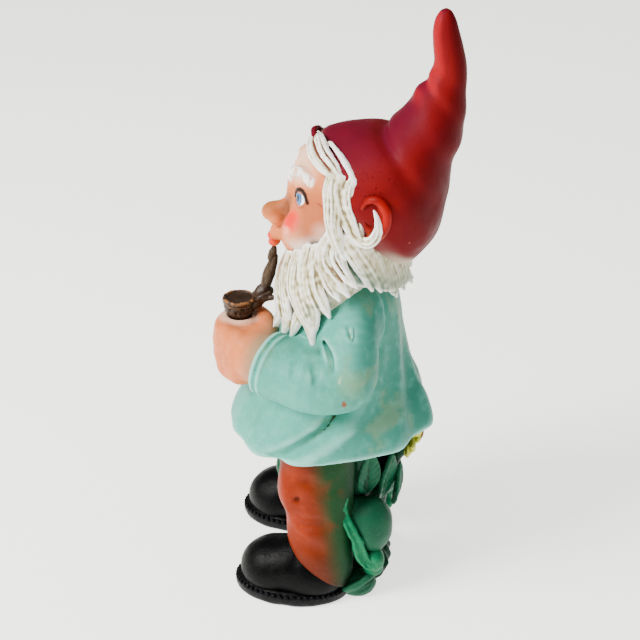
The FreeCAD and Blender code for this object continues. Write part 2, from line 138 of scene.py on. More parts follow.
class Clay:
    """A block of modelling clay: signed distances on a regular grid."""

    def __init__(self, low, high, step):
        self.low, self.step = np.array(low, float), step
        count = np.ceil((np.array(high) - self.low) / step).astype(int) + 1
        self.axes = [self.low[i] + step * np.arange(count[i]) for i in range(3)]
        self.field = np.full(count, 30.0)

    def window(self, low, high):
        ends = [np.searchsorted(axis, (lo, hi)) for axis, lo, hi in zip(self.axes, low, high)]
        cut = tuple(slice(a, b) for a, b in ends)
        return cut, np.meshgrid(*[axis[c] for axis, c in zip(self.axes, cut)], indexing="ij", sparse=True)

    def work(self, shape, blend, join):
        function, low, high = shape
        room = blend + 2 * self.step
        cut, grid = self.window(low - room, high + room)
        if all(c.stop > c.start for c in cut):
            self.field[cut] = join(self.field[cut], function(*grid), blend)
        return self

    def add(self, shape, blend=0.0):
        return self.work(shape, blend, soft_min)

    def cut(self, shape, blend=0.0):
        return self.work(shape, blend, lambda a, b, k: soft_max(a, -b, k))

    def roll(self, points, count, blend=0.0):
        """Add a rope along the smooth curve through (x, y, z, radius) points."""
        return self.add(rope(curve(points, count)), blend)

    def groove(self, points, count, radius, blend):
        """Cut a round groove along the smooth curve through the points."""
        return self.cut(rope(curve(points, count), radius), blend)

    def trim(self, outside, blend):
        """Cut away all the clay where outside is above 0."""
        self.field = soft_max(self.field, outside, blend)
        return self

    def grid(self, centre=(0, 0, 0)):
        """The x, y and z of every point, measured from the centre."""
        axes = [axis - c for axis, c in zip(self.axes, centre)]
        return np.meshgrid(*axes, indexing="ij", sparse=True)

    def ruffle(self, size, height, seed=1):
        self.field = self.field - height * noise(*self.grid(), size, seed)
        return self

    def surface(self):
        """Points and quads of the clay's surface, one point in each grid cell that it crosses."""
        inside = self.field < 0
        n = np.array(self.field.shape) - 1
        some, every = np.zeros(n, bool), np.ones(n, bool)
        for i in (0, 1):
            for j in (0, 1):
                for k in (0, 1):
                    block = inside[i:i + n[0], j:j + n[1], k:k + n[2]]
                    some |= block
                    every &= block
        cells = np.argwhere(some & ~every)
        number = np.full(n, -1, np.int64)
        number[tuple(cells.T)] = np.arange(len(cells))
        total, count = np.zeros((len(cells), 3)), np.zeros(len(cells))
        quads = []
        for axis in range(3):
            one, two = (axis + 1) % 3, (axis + 2) % 3
            for i in (0, 1):
                for j in (0, 1):
                    start = np.zeros(3, int)
                    start[one], start[two] = i, j
                    end = start.copy()
                    end[axis] = 1
                    v0 = self.field[tuple((cells + start).T)]
                    v1 = self.field[tuple((cells + end).T)]
                    cross = (v0 < 0) != (v1 < 0)
                    place = np.tile(start.astype(float), (len(cells), 1))
                    place[:, axis] = np.where(cross, v0 / np.where(cross, v0 - v1, 1), 0)
                    total += place * cross[:, None]
                    count += cross
            before, after = [slice(None)] * 3, [slice(None)] * 3
            before[axis], after[axis] = slice(0, -1), slice(1, None)
            at = np.argwhere(inside[tuple(before)] != inside[tuple(after)])
            at = at[(at[:, one] > 0) & (at[:, one] < n[one]) & (at[:, two] > 0) & (at[:, two] < n[two])]
            corners = []
            for i, j in ((1, 1), (0, 1), (0, 0), (1, 0)):
                cell = at.copy()
                cell[:, one] -= i
                cell[:, two] -= j
                corners.append(number[tuple(cell.T)])
            ring = np.column_stack(corners)
            outward = inside[tuple(at.T)]
            quads.append(np.where(outward[:, None], ring, ring[:, ::-1]))
        return self.low + self.step * (cells + total / count[:, None]), np.vstack(quads)


def side_clay(side, low, high, step):
    """A block of clay for the left (side 1), or its mirror image for the right (side -1)."""
    ends = sorted((side * low[0], side * high[0]))
    return Clay((ends[0], *low[1:]), (ends[1], *high[1:]), step)


def ease(points, quads, rounds, hold=0.5):
    """The points after rounds of moving towards their neighbours."""
    a = quads.ravel()
    b = np.roll(quads, -1, axis=1).ravel()
    degree = np.bincount(a, minlength=len(points)) + np.bincount(b, minlength=len(points))
    for _ in range(rounds):
        mean = np.column_stack([
            np.bincount(a, points[b, i], len(points)) + np.bincount(b, points[a, i], len(points))
            for i in range(3)]) / np.maximum(degree, 1)[:, None]
        points = points * hold + mean * (1 - hold)
    return points


def normals(points, quads):
    across = np.cross(points[quads[:, 2]] - points[quads[:, 0]], points[quads[:, 3]] - points[quads[:, 1]])
    total = np.column_stack([np.bincount(quads.ravel(), np.repeat(across[:, i], 4), len(points))
                             for i in range(3)])
    return total / np.maximum(np.linalg.norm(total, axis=1), 1e-9)[:, None]


def piece(name, points, quads, node, material, body="figure", reach=8, polish=1):
    """A finished piece: its mesh, each point's height above its surroundings, its paint and its body."""
    points = ease(points, quads, polish)
    height = ((points - ease(points, quads, 2 * reach)) * normals(points, quads)).sum(1)
    mesh = bpy.data.meshes.new(name)
    mesh.vertices.add(len(points))
    mesh.vertices.foreach_set("co", ((points + SHIFT) / 1000).ravel())
    mesh.loops.add(quads.size)
    mesh.loops.foreach_set("vertex_index", quads.ravel().astype(np.int32))
    mesh.polygons.add(len(quads))
    mesh.polygons.foreach_set("loop_start", np.arange(0, quads.size, 4, dtype=np.int32))
    mesh.update(calc_edges=True)
    mesh.validate()
    mesh.polygons.foreach_set("use_smooth", np.ones(len(mesh.polygons), bool))
    relief = mesh.attributes.new("relief", "FLOAT", "POINT")
    relief.data.foreach_set("value", height.astype(np.float32))
    obj = bpy.data.objects.new(name, mesh)
    bpy.context.scene.collection.objects.link(obj)
    mesh.materials.append(material.material)
    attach(obj, body)
    if node:
        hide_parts(node)
    return obj


def clay_piece(name, clay, material, node="same", body="figure", reach=8, polish=1):
    points, quads = clay.surface()
    return piece(name + "_look", points, quads, name if node == "same" else node, material, body,
                 reach, polish)


# ---------------------------------------------------------------- paint
def rgb(r, g, b):
    """Linear colour of an 8-bit display colour, deepened a little because the lamps are strong."""
    return [((c / 255 + 0.055) / 1.055) ** 2.75 for c in (r, g, b)] + [1.0]


class Paint:
    """Layers of airbrushed colour, painted shade and painted highlights on fired clay, each laid on through
    a mask.
    """

    def __init__(self, slot, base, roughness, name, gloss=0.14):
        self.slot = slot
        self.material = bpy.data.materials.new(name)
        self.material.use_nodes = True
        self.tree = self.material.node_tree
        self.shader = self.tree.nodes["Principled BSDF"]
        for socket, value in (("Roughness", roughness), ("Specular IOR Level", gloss), ("IOR", 1.36)):
            self.shader.inputs[socket].default_value = value
        metres = self.node("TexCoord", {})["Object"]
        self.where = self.vector("SUBTRACT", self.vector("MULTIPLY", metres, (1000,) * 3), tuple(SHIFT))
        self.colour = self.node("RGB", {})[0]
        self.colour.default_value = rgb(*base)
        self.bumps = []

    def feed(self, socket, value):
        if isinstance(value, bpy.types.NodeSocket):
            self.tree.links.new(value, socket)
        else:
            socket.default_value = value

    def node(self, kind, inputs, **settings):
        """The outputs of a new shader node. Each input is a value or another node's output."""
        made = self.tree.nodes.new("ShaderNode" + kind)
        for key, value in settings.items():
            setattr(made, key, value)
        for key, value in inputs.items():
            self.feed(made.inputs[key], value)
        return made.outputs

    def vector(self, operation, a, b):
        made = self.node("VectorMath", {0: a, 1: b}, operation=operation)
        return made["Value" if operation in ("LENGTH", "DOT_PRODUCT") else "Vector"]

    def maths(self, operation, a, b=0.0, clamp=False):
        return self.node("Math", {0: a, 1: b}, operation=operation, use_clamp=clamp)[0]

    def spread(self, value, low, high):
        """0 at low and 1 at high, easing between."""
        flip = low > high
        ends = {"From Min": min(low, high), "From Max": max(low, high),
                "To Min": 1.0 if flip else 0.0, "To Max": 0.0 if flip else 1.0}
        return self.node("MapRange", {"Value": value, **ends}, interpolation_type="SMOOTHSTEP")["Result"]

    def cloud(self, size, low=0.4, high=0.6, detail=3.0, stretch=(1, 1, 1)):
        place = self.vector("MULTIPLY", self.where, tuple(s / size for s in stretch))
        lumps = self.node("TexNoise", {"Vector": place, "Scale": 1.0, "Detail": detail})["Fac"]
        return self.spread(lumps, low, high)

    def spots(self, size, radius, share=0.3):
        """Small round spots, one in some of the cells of a random packing."""
        place = self.vector("MULTIPLY", self.where, (1 / size,) * 3)
        cells = self.node("TexVoronoi", {"Vector": place, "Scale": 1.0})
        chance = self.node("SeparateXYZ", {0: cells["Color"]})[0]
        few = self.spread(chance, share, share - 0.02)
        return self.maths("MULTIPLY",
                          self.spread(cells["Distance"], radius / size, 0.6 * radius / size), few)

    def blob(self, centre, radii, soft=0.3):
        away = self.vector("DIVIDE", self.vector("SUBTRACT", self.where, tuple(centre)), tuple(radii))
        return self.spread(self.vector("LENGTH", away, (0, 0, 0)), 1 + soft, max(1 - soft, 0))

    def stroke(self, points, width, soft=0.4):
        """Brush stroke through the points."""
        total = None
        for a, b in zip(points, points[1:]):
            a, b = np.array(a, float), np.array(b, float)
            off = self.vector("SUBTRACT", self.where, tuple(a))
            t = self.maths("MULTIPLY", self.vector("DOT_PRODUCT", off, tuple(b - a)),
                           1 / float((b - a) @ (b - a)), clamp=True)
            along = self.node("VectorMath", {0: tuple(b - a), "Scale": t}, operation="SCALE")["Vector"]
            gap = self.vector("LENGTH", self.vector("SUBTRACT", off, along), (0, 0, 0))
            mark = self.spread(gap, width * (1 + soft), width * (1 - soft))
            total = mark if total is None else self.maths("MAXIMUM", total, mark)
        return total

    def facing(self, direction, low, high):
        unit = tuple(Vector(direction).normalized())
        return self.spread(self.vector("DOT_PRODUCT", self.node("NewGeometry", {})["Normal"],
                                       unit), low, high)

    def slope(self, direction, low, high):
        """0 where the place along the direction is low and 1 where it is high."""
        return self.spread(self.vector("DOT_PRODUCT", self.where, tuple(direction)), low, high)

    def relief(self, low, high):
        """0 and 1 at two heights of the surface above its surroundings, mm."""
        return self.spread(self.node("Attribute", {}, attribute_name="relief")["Fac"], low, high)

    def both(self, *masks):
        total = masks[0]
        for mask in masks[1:]:
            total = self.maths("MULTIPLY", total, mask)
        return total

    def coat(self, mask, colour, strength=1.0):
        layers = {0: self.maths("MULTIPLY", mask, strength), 6: self.colour, 7: rgb(*colour)}
        self.colour = self.node("Mix", layers, data_type="RGBA")[2]

    def dab(self, centre, radii, soft, colour, strength=1.0):
        """Colour round one place."""
        self.coat(self.blob(centre, radii, soft), colour, strength)

    def dabs(self, side, rows):
        """Dabs on the left (side 1), or mirrored on the right (side -1)."""
        for centre, *rest in rows:
            self.dab((side * centre[0], *centre[1:]), *rest)

    def line(self, points, width, soft, colour, strength):
        """Colour in one brush stroke."""
        self.coat(self.stroke(points, width, soft), colour, strength)

    def relief_shading(self, low, high, colour, strength):
        """Painted shade in the hollows and painted highlight on the ridges, whichever relief() picks out.
        """
        self.coat(self.relief(low, high), colour, strength)

    def rough(self, mask, low, high):
        dull = self.node("MapRange", {"Value": mask, "To Min": low, "To Max": high})["Result"]
        self.feed(self.shader.inputs["Roughness"], dull)

    def bump(self, height, depth):
        self.bumps.append({"Height": height, "Distance": depth / 1000})

    def grain(self, size, depth, *rest):
        """Fine unevenness of the surface, depth in mm."""
        self.bump(self.cloud(size, 0.2, 0.8, *rest), depth)

    def done(self):
        self.feed(self.shader.inputs["Base Color"], self.colour)
        below = {}
        for layer in self.bumps:
            below = {"Normal": self.node("Bump", {**layer, **below})["Normal"]}
        if below:
            self.feed(self.shader.inputs["Normal"], below["Normal"])
        return self


def skin_paint(name):
    p = Paint("skin_paint", (218, 130, 78), 0.42, name)
    p.coat(p.cloud(26), (202, 108, 60), 0.5)
    p.coat(p.cloud(5, 0.35, 0.7), (230, 150, 104), 0.35)
    # Painted shade: the skin darker in its hollows.
    p.relief_shading(-0.1, -0.5, (150, 76, 46), 0.65)
    return p


def face_paint():
    p = skin_paint("face")
    p.dab((6, -24, 302), (30, 16, 12), 0.5, (250, 216, 188), 0.7)
    for side in (1, -1):
        p.dabs(side, [
            ((24, -24, 259), (15, 13, 12), 0.5, (232, 168, 132), 0.6),
            # Painted shade on the rear side of the face.
            ((33, -9, 277), (14, 15, 16), 0.6, (172, 94, 58), 0.75),
            ((30, -4, 251), (16, 19, 9), 0.6, (250, 248, 240), 0.95),
            ((37, -2, 262), (8, 10, 10), 0.6, (240, 222, 206), 0.4),
            ((25, -27, 269.0), (8, 7, 7.2), 0.5, (240, 50, 36), 0.95),
            # Painted highlight on the cheek, below the blush.
            ((27, -27.5, 263.5), (3.2, 3, 2.4), 0.6, (250, 196, 160), 0.5),
            # Painted shade between the nose and the eye.
            ((9.5, -31, 271), (7, 7, 9), 0.6, (108, 70, 50), 0.8),
            ((17, -24, 290), (12, 8, 3.0), 0.5, (230, 138, 98), 0.6),
        ])
        crease = mirrored([(31, -11.5, 284.5), (34.5, -6.5, 285.5), (37, -2, 283.5)], side)
        p.line(crease, 0.9, 0.5, (130, 46, 28), 0.9)
        p.line(mirrored([(31, -12, 281.5), (35.5, -5, 279)], side), 0.7, 0.6, (150, 70, 48), 0.65)
        brow = mirrored([(11, -29.5, 292), (16.5, -27, 298.5), (23, -21, 300.5), (29, -13.5, 297)], side)
        hairs = p.cloud(2.4, 0.3, 0.55, 2.0, (1, 1, 0.35))
        p.line(brow, 3.6, 0.3, (226, 176, 150), 0.8)
        p.coat(p.both(p.stroke(brow, 3.3, 0.25), hairs), (255, 250, 244), 0.98)
        p.line(eyelid(side, 39, 6)[::2], 1.7, 0.3, (26, 20, 22), 0.98)
        p.line(eyelid(side, -31, 6)[::2], 0.8, 0.5, (120, 66, 50), 0.7)
        # Painted shade in the nostril.
        p.dab((side * 3.2, -43.5, 258), (1.7, 2.4, 1.7), 0.3, (96, 40, 26), 0.9)
    p.dab((0, -42, 268), (9, 10, 6), 0.5, (158, 98, 58), 0.7)
    p.dab((0, -43, 245.2), (8.2, 5.5, 5.6), 0.22, (224, 62, 32), 0.95)
    p.line([(-6, -45, 245), (0, -46.5, 245.3), (6, -45, 245)], 0.6, 0.4, (120, 30, 22), 0.8)
    p.dab((0, -30, 234), (26, 12, 6), 0.5, (120, 86, 66), 0.6)
    p.grain(1.6, 0.05)
    return p.done()


def hand_paint():
    p = skin_paint("hand")
    p.coat(p.slope((0.35, 0.94, 0), -44, -26), (120, 134, 112), 0.75)
    # Painted shade under the fist and painted highlight on its top.
    p.dab((3, -64, 150), (16, 16, 10), 0.6, (150, 98, 70), 0.5)
    p.dab((3, -64, 190), (12.5, 12.5, 4), 0.4, (244, 216, 192), 0.8)
    p.coat(p.spots(9, 0.35, 0.3), (90, 50, 36), 0.9)
    p.grain(1.6, 0.06)
    return p.done()


def eye_paint(side):
    p = Paint("skin_paint", (250, 250, 252), 0.14, "eye", gloss=0.5)
    look = np.array([side * 0.50, -0.85, 0.14])
    look = look / np.linalg.norm(look) * EYE_R
    middle = (side * EYE[0] + look[0], EYE[1] + look[1], EYE[2] + look[2])
    p.coat(p.cloud(3), (228, 234, 244), 0.3)
    p.dab(middle, (4.6,) * 3, 0.1, (20, 40, 84))
    p.dab(middle, (4.0,) * 3, 0.14, (64, 118, 176))
    p.coat(p.both(p.blob(middle, (3.8,) * 3, 0.3), p.cloud(1.2)), (112, 166, 210), 0.5)
    p.dab(middle, (2.3,) * 3, 0.12, (6, 10, 22))
    # Painted glint on the iris.
    p.dab((middle[0] + side * 1.4, middle[1], middle[2] + 2.0), (1.0,) * 3, 0.3, (255, 255, 255))
    p.line(eyelid(side, 33, 6)[::2], 1.2, 0.3, (10, 10, 16), 1.0)
    return p.done()


def hat_paint(name="hat"):
    p = Paint("hat_paint", (126, 26, 30), 0.5, name, gloss=0.07)
    p.coat(p.cloud(34, 0.35, 0.65), (102, 18, 28), 0.5)
    p.coat(p.cloud(16, 0.55, 0.8), (142, 24, 24), 0.4)
    # Painted shade in the folds.
    p.relief_shading(-0.3, -1.6, (62, 6, 18), 0.6)
    # Painted reflection: faces turned up and forward tinted purple by the sky.
    p.coat(p.facing((0.1, -0.62, 0.78), 0.4, 1.0), (92, 22, 52), 0.6)
    # Painted shade on the faces turned to the back.
    p.coat(p.facing((0.2, 0.95, 0.0), 0.3, 1.0), (84, 8, 18), 0.6)
    # Painted highlight on the upper cone where it faces the lamp.
    p.coat(p.both(p.facing((0.55, -0.8, 0.2), 0.7, 1.0), p.slope((0, 0, 1), 340, 352)), (176, 30, 40), 0.6)
    above_brim = (0, 0.775, 0.632)
    if name == "hat":
        near_ear = p.maths("SUBTRACT", 1.0, p.blob((44, 22, 296), (16, 22, 18), 0.4))
        rim = p.both(p.slope(above_brim, 199, 190), p.cloud(8, 0.05, 0.5), near_ear)
        p.coat(rim, (128, 74, 74), 0.7)
        edge = p.slope(above_brim, 196, 189)
        p.coat(p.both(edge, p.slope((0, 0, -1), -262, -246)), (190, 176, 156), 0.85)
        p.coat(p.both(edge, p.slope((0, 0, 1), 296, 306)), (176, 158, 144), 0.7)
    p.coat(p.spots(3.2, 0.3, 0.14), (40, 4, 8), 0.8)
    p.coat(p.both(p.blob((42, 26, 302), (14, 16, 8), 0.5), p.spots(2.0, 0.5, 0.6)), (16, 2, 4))
    p.coat(p.spots(17, 0.8, 0.2), (190, 110, 90), 0.45)
    p.bump(p.cloud(1.1, 0.1, 0.9), 0.05)
    p.grain(9, 0.15)
    p.rough(p.cloud(12, 0.3, 0.7), 0.44, 0.56)
    return p.done()


def hair_paint(name):
    p = Paint("hair_paint", (243, 240, 224), 0.45, name)
    p.coat(p.cloud(12, 0.4, 0.7), (214, 206, 180), 0.5)
    # Painted shade in the hollows, deeper in the deeper ones.
    p.relief_shading(0.16, -0.06, (204, 194, 158), 0.9)
    p.relief_shading(0.0, -0.2, (128, 112, 78), 0.95)
    p.relief_shading(-0.25, -0.8, (70, 58, 42), 0.9)
    # Painted highlight on the ridges.
    p.relief_shading(0.1, 0.34, (255, 255, 253), 0.95)
    # Strand streaks, laid only in the hollows: partly painted shade.
    p.coat(p.both(p.cloud(1.1, 0.5, 0.62, 2, (1, 1, 0.25)), p.relief(0.35, -0.2)), (140, 126, 96), 0.5)
    p.grain(1.2, 0.16, 2, (1, 1, 0.3))
    p.grain(0.7, 0.04)
    return p


def beard_paint():
    p = hair_paint("beard")
    # Round the chin and under the pipe: partly brown overspray, partly painted shade.
    p.dab((4, -42, 216), (18, 13, 22), 0.6, (140, 112, 88), 0.65)
    p.dab((14, -36, 234), (15, 10, 11), 0.6, (156, 116, 88), 0.6)
    p.dab((10, -40, 240), (13, 10, 6), 0.6, (132, 78, 56), 0.7)
    p.coat(p.both(p.blob((14, -38, 200), (14, 10, 16), 0.5), p.relief(0.3, -0.1)), (146, 128, 92), 0.7)
    for side in (1, -1):
        low, high = p.blob((side * 44, -2, 214), (10, 14, 9), 0.5), p.blob((side * 42, 12, 246),
                                                                           (12, 12, 12), 0.5)
        # Painted shade in the hollows, tinted green low on the side.
        p.coat(p.both(low, p.relief(0.2, -0.2)), (104, 140, 124), 0.7)
        # Painted shade in the hollows, tinted red-brown near the ear.
        p.coat(p.both(high, p.relief(0.2, -0.2)), (110, 62, 44), 0.5)
    return p.done()


def nape_paint():
    p = hair_paint("nape_hair")
    # Painted shade, tinted green, on the lower hair, deeper in its hollows.
    low = p.slope((0, -0.34, -0.94), -247, -229)
    p.coat(p.both(low, p.relief(0.5, -0.1)), (92, 132, 118), 0.9)
    p.coat(p.both(low, p.relief(-0.05, -0.4)), (44, 84, 76), 0.8)
    # Painted shade towards the back.
    p.coat(p.slope((0, 0.8, 0), 8, 40), (178, 176, 150), 0.5)
    return p.done()


def lock_paint():
    p = hair_paint("hair_lock")
    # Painted shade, tinted red, in the hollows under the hat.
    p.coat(p.both(p.slope((0, 0, 1), 296, 310), p.relief(0.0, -0.3)), (110, 40, 36), 0.8)
    return p.done()


def ear_paint():
    p = Paint("ear_paint", (142, 18, 14), 0.42, "ear")
    p.coat(p.cloud(8), (118, 14, 12), 0.5)
    # Painted shade in the hollows.
    p.relief_shading(-0.1, -0.8, (74, 8, 10), 0.9)
    for side in (1, -1):
        p.dabs(side, [
            ((49, 34, 287), (6, 5, 9), 0.5, (172, 28, 16), 0.7),
            ((46, 29, 269), (9, 9, 5), 0.6, (166, 82, 46), 0.8),
            # Painted shade in the hollow of the ear.
            ((46, 25.5, 284), (4.5, 5, 7.5), 0.4, (80, 8, 10), 0.9),
        ])
    # Painted highlight on the ridges.
    p.coat(p.both(p.relief(0.2, 0.9), p.cloud(3)), (196, 56, 34), 0.35)
    p.grain(1.6, 0.06)
    return p.done()


def smock_paint(name="smock"):
    p = Paint("smock_paint", (88, 174, 158), 0.44, name)
    p.coat(p.cloud(34, 0.35, 0.7), (70, 148, 130), 0.6)
    # Painted shade on the faces turned to the back.
    p.coat(p.facing((0.25, 0.95, 0.0), 0.1, 0.9), (52, 124, 108), 0.6)
    p.coat(p.cloud(7, 0.45, 0.8), (122, 198, 182), 0.4)
    p.coat(p.cloud(1.6, 0.5, 0.7, 4), (84, 148, 130), 0.35)
    # Painted shade in the folds and painted highlight on their ridges.
    p.relief_shading(-0.15, -1.3, (50, 100, 76), 0.85)
    p.relief_shading(0.15, 0.8, (158, 220, 208), 0.65)
    p.coat(p.both(p.slope((0, 0, 1), 212, 234), p.cloud(10, 0.2, 0.6)), (112, 160, 144), 0.6)
    p.coat(p.both(p.slope((0, 0, -1), -124, -112), p.cloud(2.2, 0.5, 0.7, 5)), (126, 160, 142), 0.6)
    # Lighter mottled patches on the faces turned to the left and back.
    back_patches = p.both(p.cloud(22, 0.55, 0.7), p.facing((0.4, 0.6, 0.2), 0.2, 0.9))
    p.coat(back_patches, (142, 168, 132), 0.5)
    p.coat(p.spots(4.5, 0.28, 0.22), (52, 66, 58), 0.85)
    p.coat(p.spots(15, 0.5, 0.3), (40, 50, 44), 0.9)
    p.coat(p.spots(21, 0.7, 0.3), (206, 226, 214), 0.6)
    p.bump(p.maths("SUBTRACT", 1.0, p.spots(4.5, 0.3, 0.22)), 0.25)
    p.bump(p.cloud(0.9, 0.1, 0.9), 0.05)
    p.grain(6, 0.18)
    return p


def sleeve_paint():
    p = smock_paint("sleeve")
    chip = p.both(p.blob((71, 14, 170), (3.2, 2.0, 3.4), 0.2), p.cloud(1.6, 0.3, 0.5))
    p.coat(chip, (140, 84, 60))
    p.dab((66, 17, 181), (9, 8, 9), 0.5, (150, 182, 140), 0.45)
    worn = p.stroke([(72, 13, 170), (71, 11, 184), (60, 17, 203), (53, 15, 211)], 0.8, 0.8)
    p.coat(p.both(worn, p.cloud(2.5, 0.3, 0.6)), (196, 214, 180), 0.7)
    p.line([(61, 16, 203), (57, 18, 208), (53, 17, 213)], 0.5, 0.6, (40, 66, 58), 0.7)
    return p.done()


def trouser_paint():
    p = Paint("trouser_paint", (148, 54, 22), 0.46, "trousers")
    p.coat(p.cloud(22, 0.4, 0.7), (122, 42, 20), 0.6)
    p.coat(p.cloud(5, 0.5, 0.8), (164, 68, 34), 0.4)
    # Painted shade in the folds.
    p.relief_shading(-0.1, -0.9, (64, 26, 12), 0.8)
    p.coat(p.slope((0, 0, 1), 62, 30), (72, 34, 16), 0.7)
    p.coat(p.slope((0, 1, 0.16), -8, 12), (84, 42, 20), 0.6)
    p.coat(p.both(p.slope((0, 1, 0.16), 4, 19), p.cloud(15, 0.1, 0.5)), (0, 74, 40), 0.95)
    p.coat(p.slope((0, 1, 0), 10, 17), (2, 56, 32), 0.9)
    # Painted shade, near black, low at the back of the legs.
    p.coat(p.slope((0, 0.62, -0.78), -16, 2), (14, 16, 16), 0.9)
    p.coat(p.spots(7, 0.4, 0.2), (50, 26, 16), 0.8)
    p.grain(1.4, 0.07)
    p.grain(7, 0.2)
    return p.done()


def shoe_paint():
    p = Paint("shoe_paint", (0, 0, 2), 0.42, "shoes", gloss=0.15)
    p.coat(p.cloud(9, 0.4, 0.75), (3, 4, 8), 0.8)
    # Painted highlight on the ridges.
    p.relief_shading(0.15, 0.8, (22, 24, 32), 0.6)
    p.coat(p.both(p.slope((0, 0, -1), -10, -5), p.cloud(4, 0.35, 0.7)), (28, 31, 36), 0.6)
    p.coat(p.spots(9, 0.35, 0.3), (70, 72, 76), 0.5)
    p.grain(1.8, 0.08)
    p.grain(9, 0.25)
    p.rough(p.cloud(10, 0.3, 0.7), 0.36, 0.52)
    return p.done()


def pipe_paint(name, worn=False):
    p = Paint("pipe_paint", (48, 33, 22), 0.36, name, gloss=0.35)
    p.coat(p.cloud(6, 0.4, 0.7), (70, 52, 38), 0.7)
    # Painted shade in the hollows and painted highlight on the ridges.
    p.relief_shading(-0.02, -0.25, (16, 11, 8), 0.9)
    p.relief_shading(0.05, 0.3, (96, 76, 58), 0.75)
    if worn:
        p.coat(p.both(p.relief(0.02, 0.2), p.cloud(3, 0.35, 0.55)), (176, 122, 74), 0.8)
    p.coat(p.spots(2.4, 0.25, 0.2), (150, 134, 116), 0.6)
    p.grain(1.0, 0.08)
    return p.done()


def stem_paint():
    p = Paint("pipe_paint", (94, 80, 66), 0.34, "pipe_stem")
    p.coat(p.cloud(3, 0.35, 0.65, 3, (2.2, 2.2, 0.6)), (58, 44, 34), 0.8)
    # Painted shade on the back of the stem.
    p.coat(p.facing((0, 0.6, 0.1), 0.1, 0.9), (46, 34, 26), 0.7)
    p.coat(p.spots(3, 0.25, 0.2), (150, 138, 122), 0.6)
    p.grain(1.0, 0.08)
    return p.done()


def leaf_paint(name, base, dark, light):
    p = Paint("leaf_paint", base, 0.4, name)
    p.coat(p.cloud(12, 0.35, 0.65), dark, 0.5)
    p.coat(p.cloud(3, 0.5, 0.75), light, 0.3)
    # Painted shade in the hollows and painted highlight on the ridges.
    p.relief_shading(-0.1, -0.9, (8, 40, 24), 0.9)
    p.relief_shading(0.1, 0.9, light, 0.5)
    p.coat(p.spots(5, 0.3, 0.2), (20, 50, 36), 0.7)
    p.grain(1.3, 0.08)
    return p.done()


def flower_paint():
    p = Paint("petal_paint", (204, 206, 82), 0.42, "petals")
    p.coat(p.cloud(5), (182, 184, 60), 0.6)
    # Painted shade in the hollows and painted highlight on the ridges.
    p.relief_shading(-0.05, -0.4, (112, 128, 40), 0.85)
    p.relief_shading(0.05, 0.4, (232, 232, 128), 0.6)
    p.grain(1.3, 0.08)
    return p.done()


def flower_eye_paint():
    p = Paint("eye_paint", (146, 96, 36), 0.5, "flower_eye")
    p.coat(p.cloud(2), (112, 66, 26), 0.7)
    # Painted shade in the hollows.
    p.relief_shading(-0.02, -0.2, (60, 36, 16), 0.9)
    p.grain(0.8, 0.1)
    return p.done()


# ---------------------------------------------------------------- smock
COAT = curve([  # z, front, back, half width
    (100, -69, 61, 62), (108, -71.5, 63, 65), (116, -72.5, 64, 66.5), (126, -68.5, 63.5, 66),
    (138, -61, 59.5, 61.5), (150, -53, 53, 57), (166, -46, 48, 53), (185, -37, 44, 49),
    (200, -29, 42, 46.5), (212, -20, 39.5, 41), (222, -10, 34.5, 32), (231, -2, 27, 21)], 90)
# Each fold: its line as (z, degrees from the left side towards the back), its heights by z, its width.
FOLDS = [
    ([(118, -24), (141, 2), (165, 17), (192, 30)], [(110, -3.0), (140, -5.5), (175, -5.5), (197, 0)], 6),
    ([(118, -10), (141, 16), (165, 30), (192, 40)], [(110, 1.8), (140, 2.8), (175, 2.2), (197, 0)], 8),
    ([(112, 46), (134, 48), (161, 58), (205, 72)], [(112, 2.2), (150, 2.4), (205, 0.5)], 8),
    ([(112, 63), (134, 66), (161, 78), (195, 84)], [(112, -3.0), (150, -3.0), (190, 0)], 8),
    ([(112, 78), (134, 82), (161, 92), (195, 96)], [(108, 3.6), (132, 3.6), (150, 2.0), (190, 0)], 7),
    ([(112, 108), (134, 106), (161, 104), (195, 100)], [(112, -3.0), (150, -2.5), (190, 0)], 9),
    ([(112, 130), (150, 124), (195, 112)], [(112, 2.6), (150, 2.4), (195, 0)], 9),
    ([(112, 156), (150, 146), (195, 140)], [(112, -2.4), (150, -2.4), (195, 0)], 9),
    ([(112, 200), (140, 184), (175, 168)], [(112, -2.6), (140, -3.8), (185, 0)], 8),
    ([(112, 180), (140, 168), (175, 154)], [(112, 2.0), (140, 2.2), (185, 0)], 9),
    ([(112, 232), (150, 236)], [(112, -2.2), (140, -1.0), (150, 0)], 10),
    ([(112, 254), (150, 250)], [(112, 1.6), (145, 0)], 10),
    ([(112, 284), (150, 282)], [(112, -1.8), (150, 0)], 9),
    ([(112, 304), (150, 306)], [(112, -2.0), (140, -1.0), (150, 0)], 8),
    ([(112, 322), (150, 322)], [(112, 1.6), (145, 0)], 9),
]


def fold_height(angle, z):
    total = 0
    for line, heights, width in FOLDS:
        zs, degrees = zip(*line)
        hz, h = zip(*heights)
        off = (angle - np.interp(z, zs, degrees) + 180) % 360 - 180
        total = total + np.interp(z, hz, h) * np.exp(-(off / width) ** 2)
    return total


def columns(z, table):
    """The table's other columns at the heights z."""
    return [np.interp(z, table[:, 0], table[:, i]) for i in range(1, table.shape[1])]


def oval(x, y, half, deep):
    """Distance outside an oval, along the line to its middle."""
    near = np.sqrt((x / half) ** 2 + (y / deep) ** 2)
    return (near - 1) * np.sqrt(x ** 2 + y ** 2) / np.maximum(near, 0.05)


def turned(x, y, angle):
    """The two measures in axes turned by the angle."""
    c, s = math.cos(angle), math.sin(angle)
    return x * c + y * s, -x * s + y * c


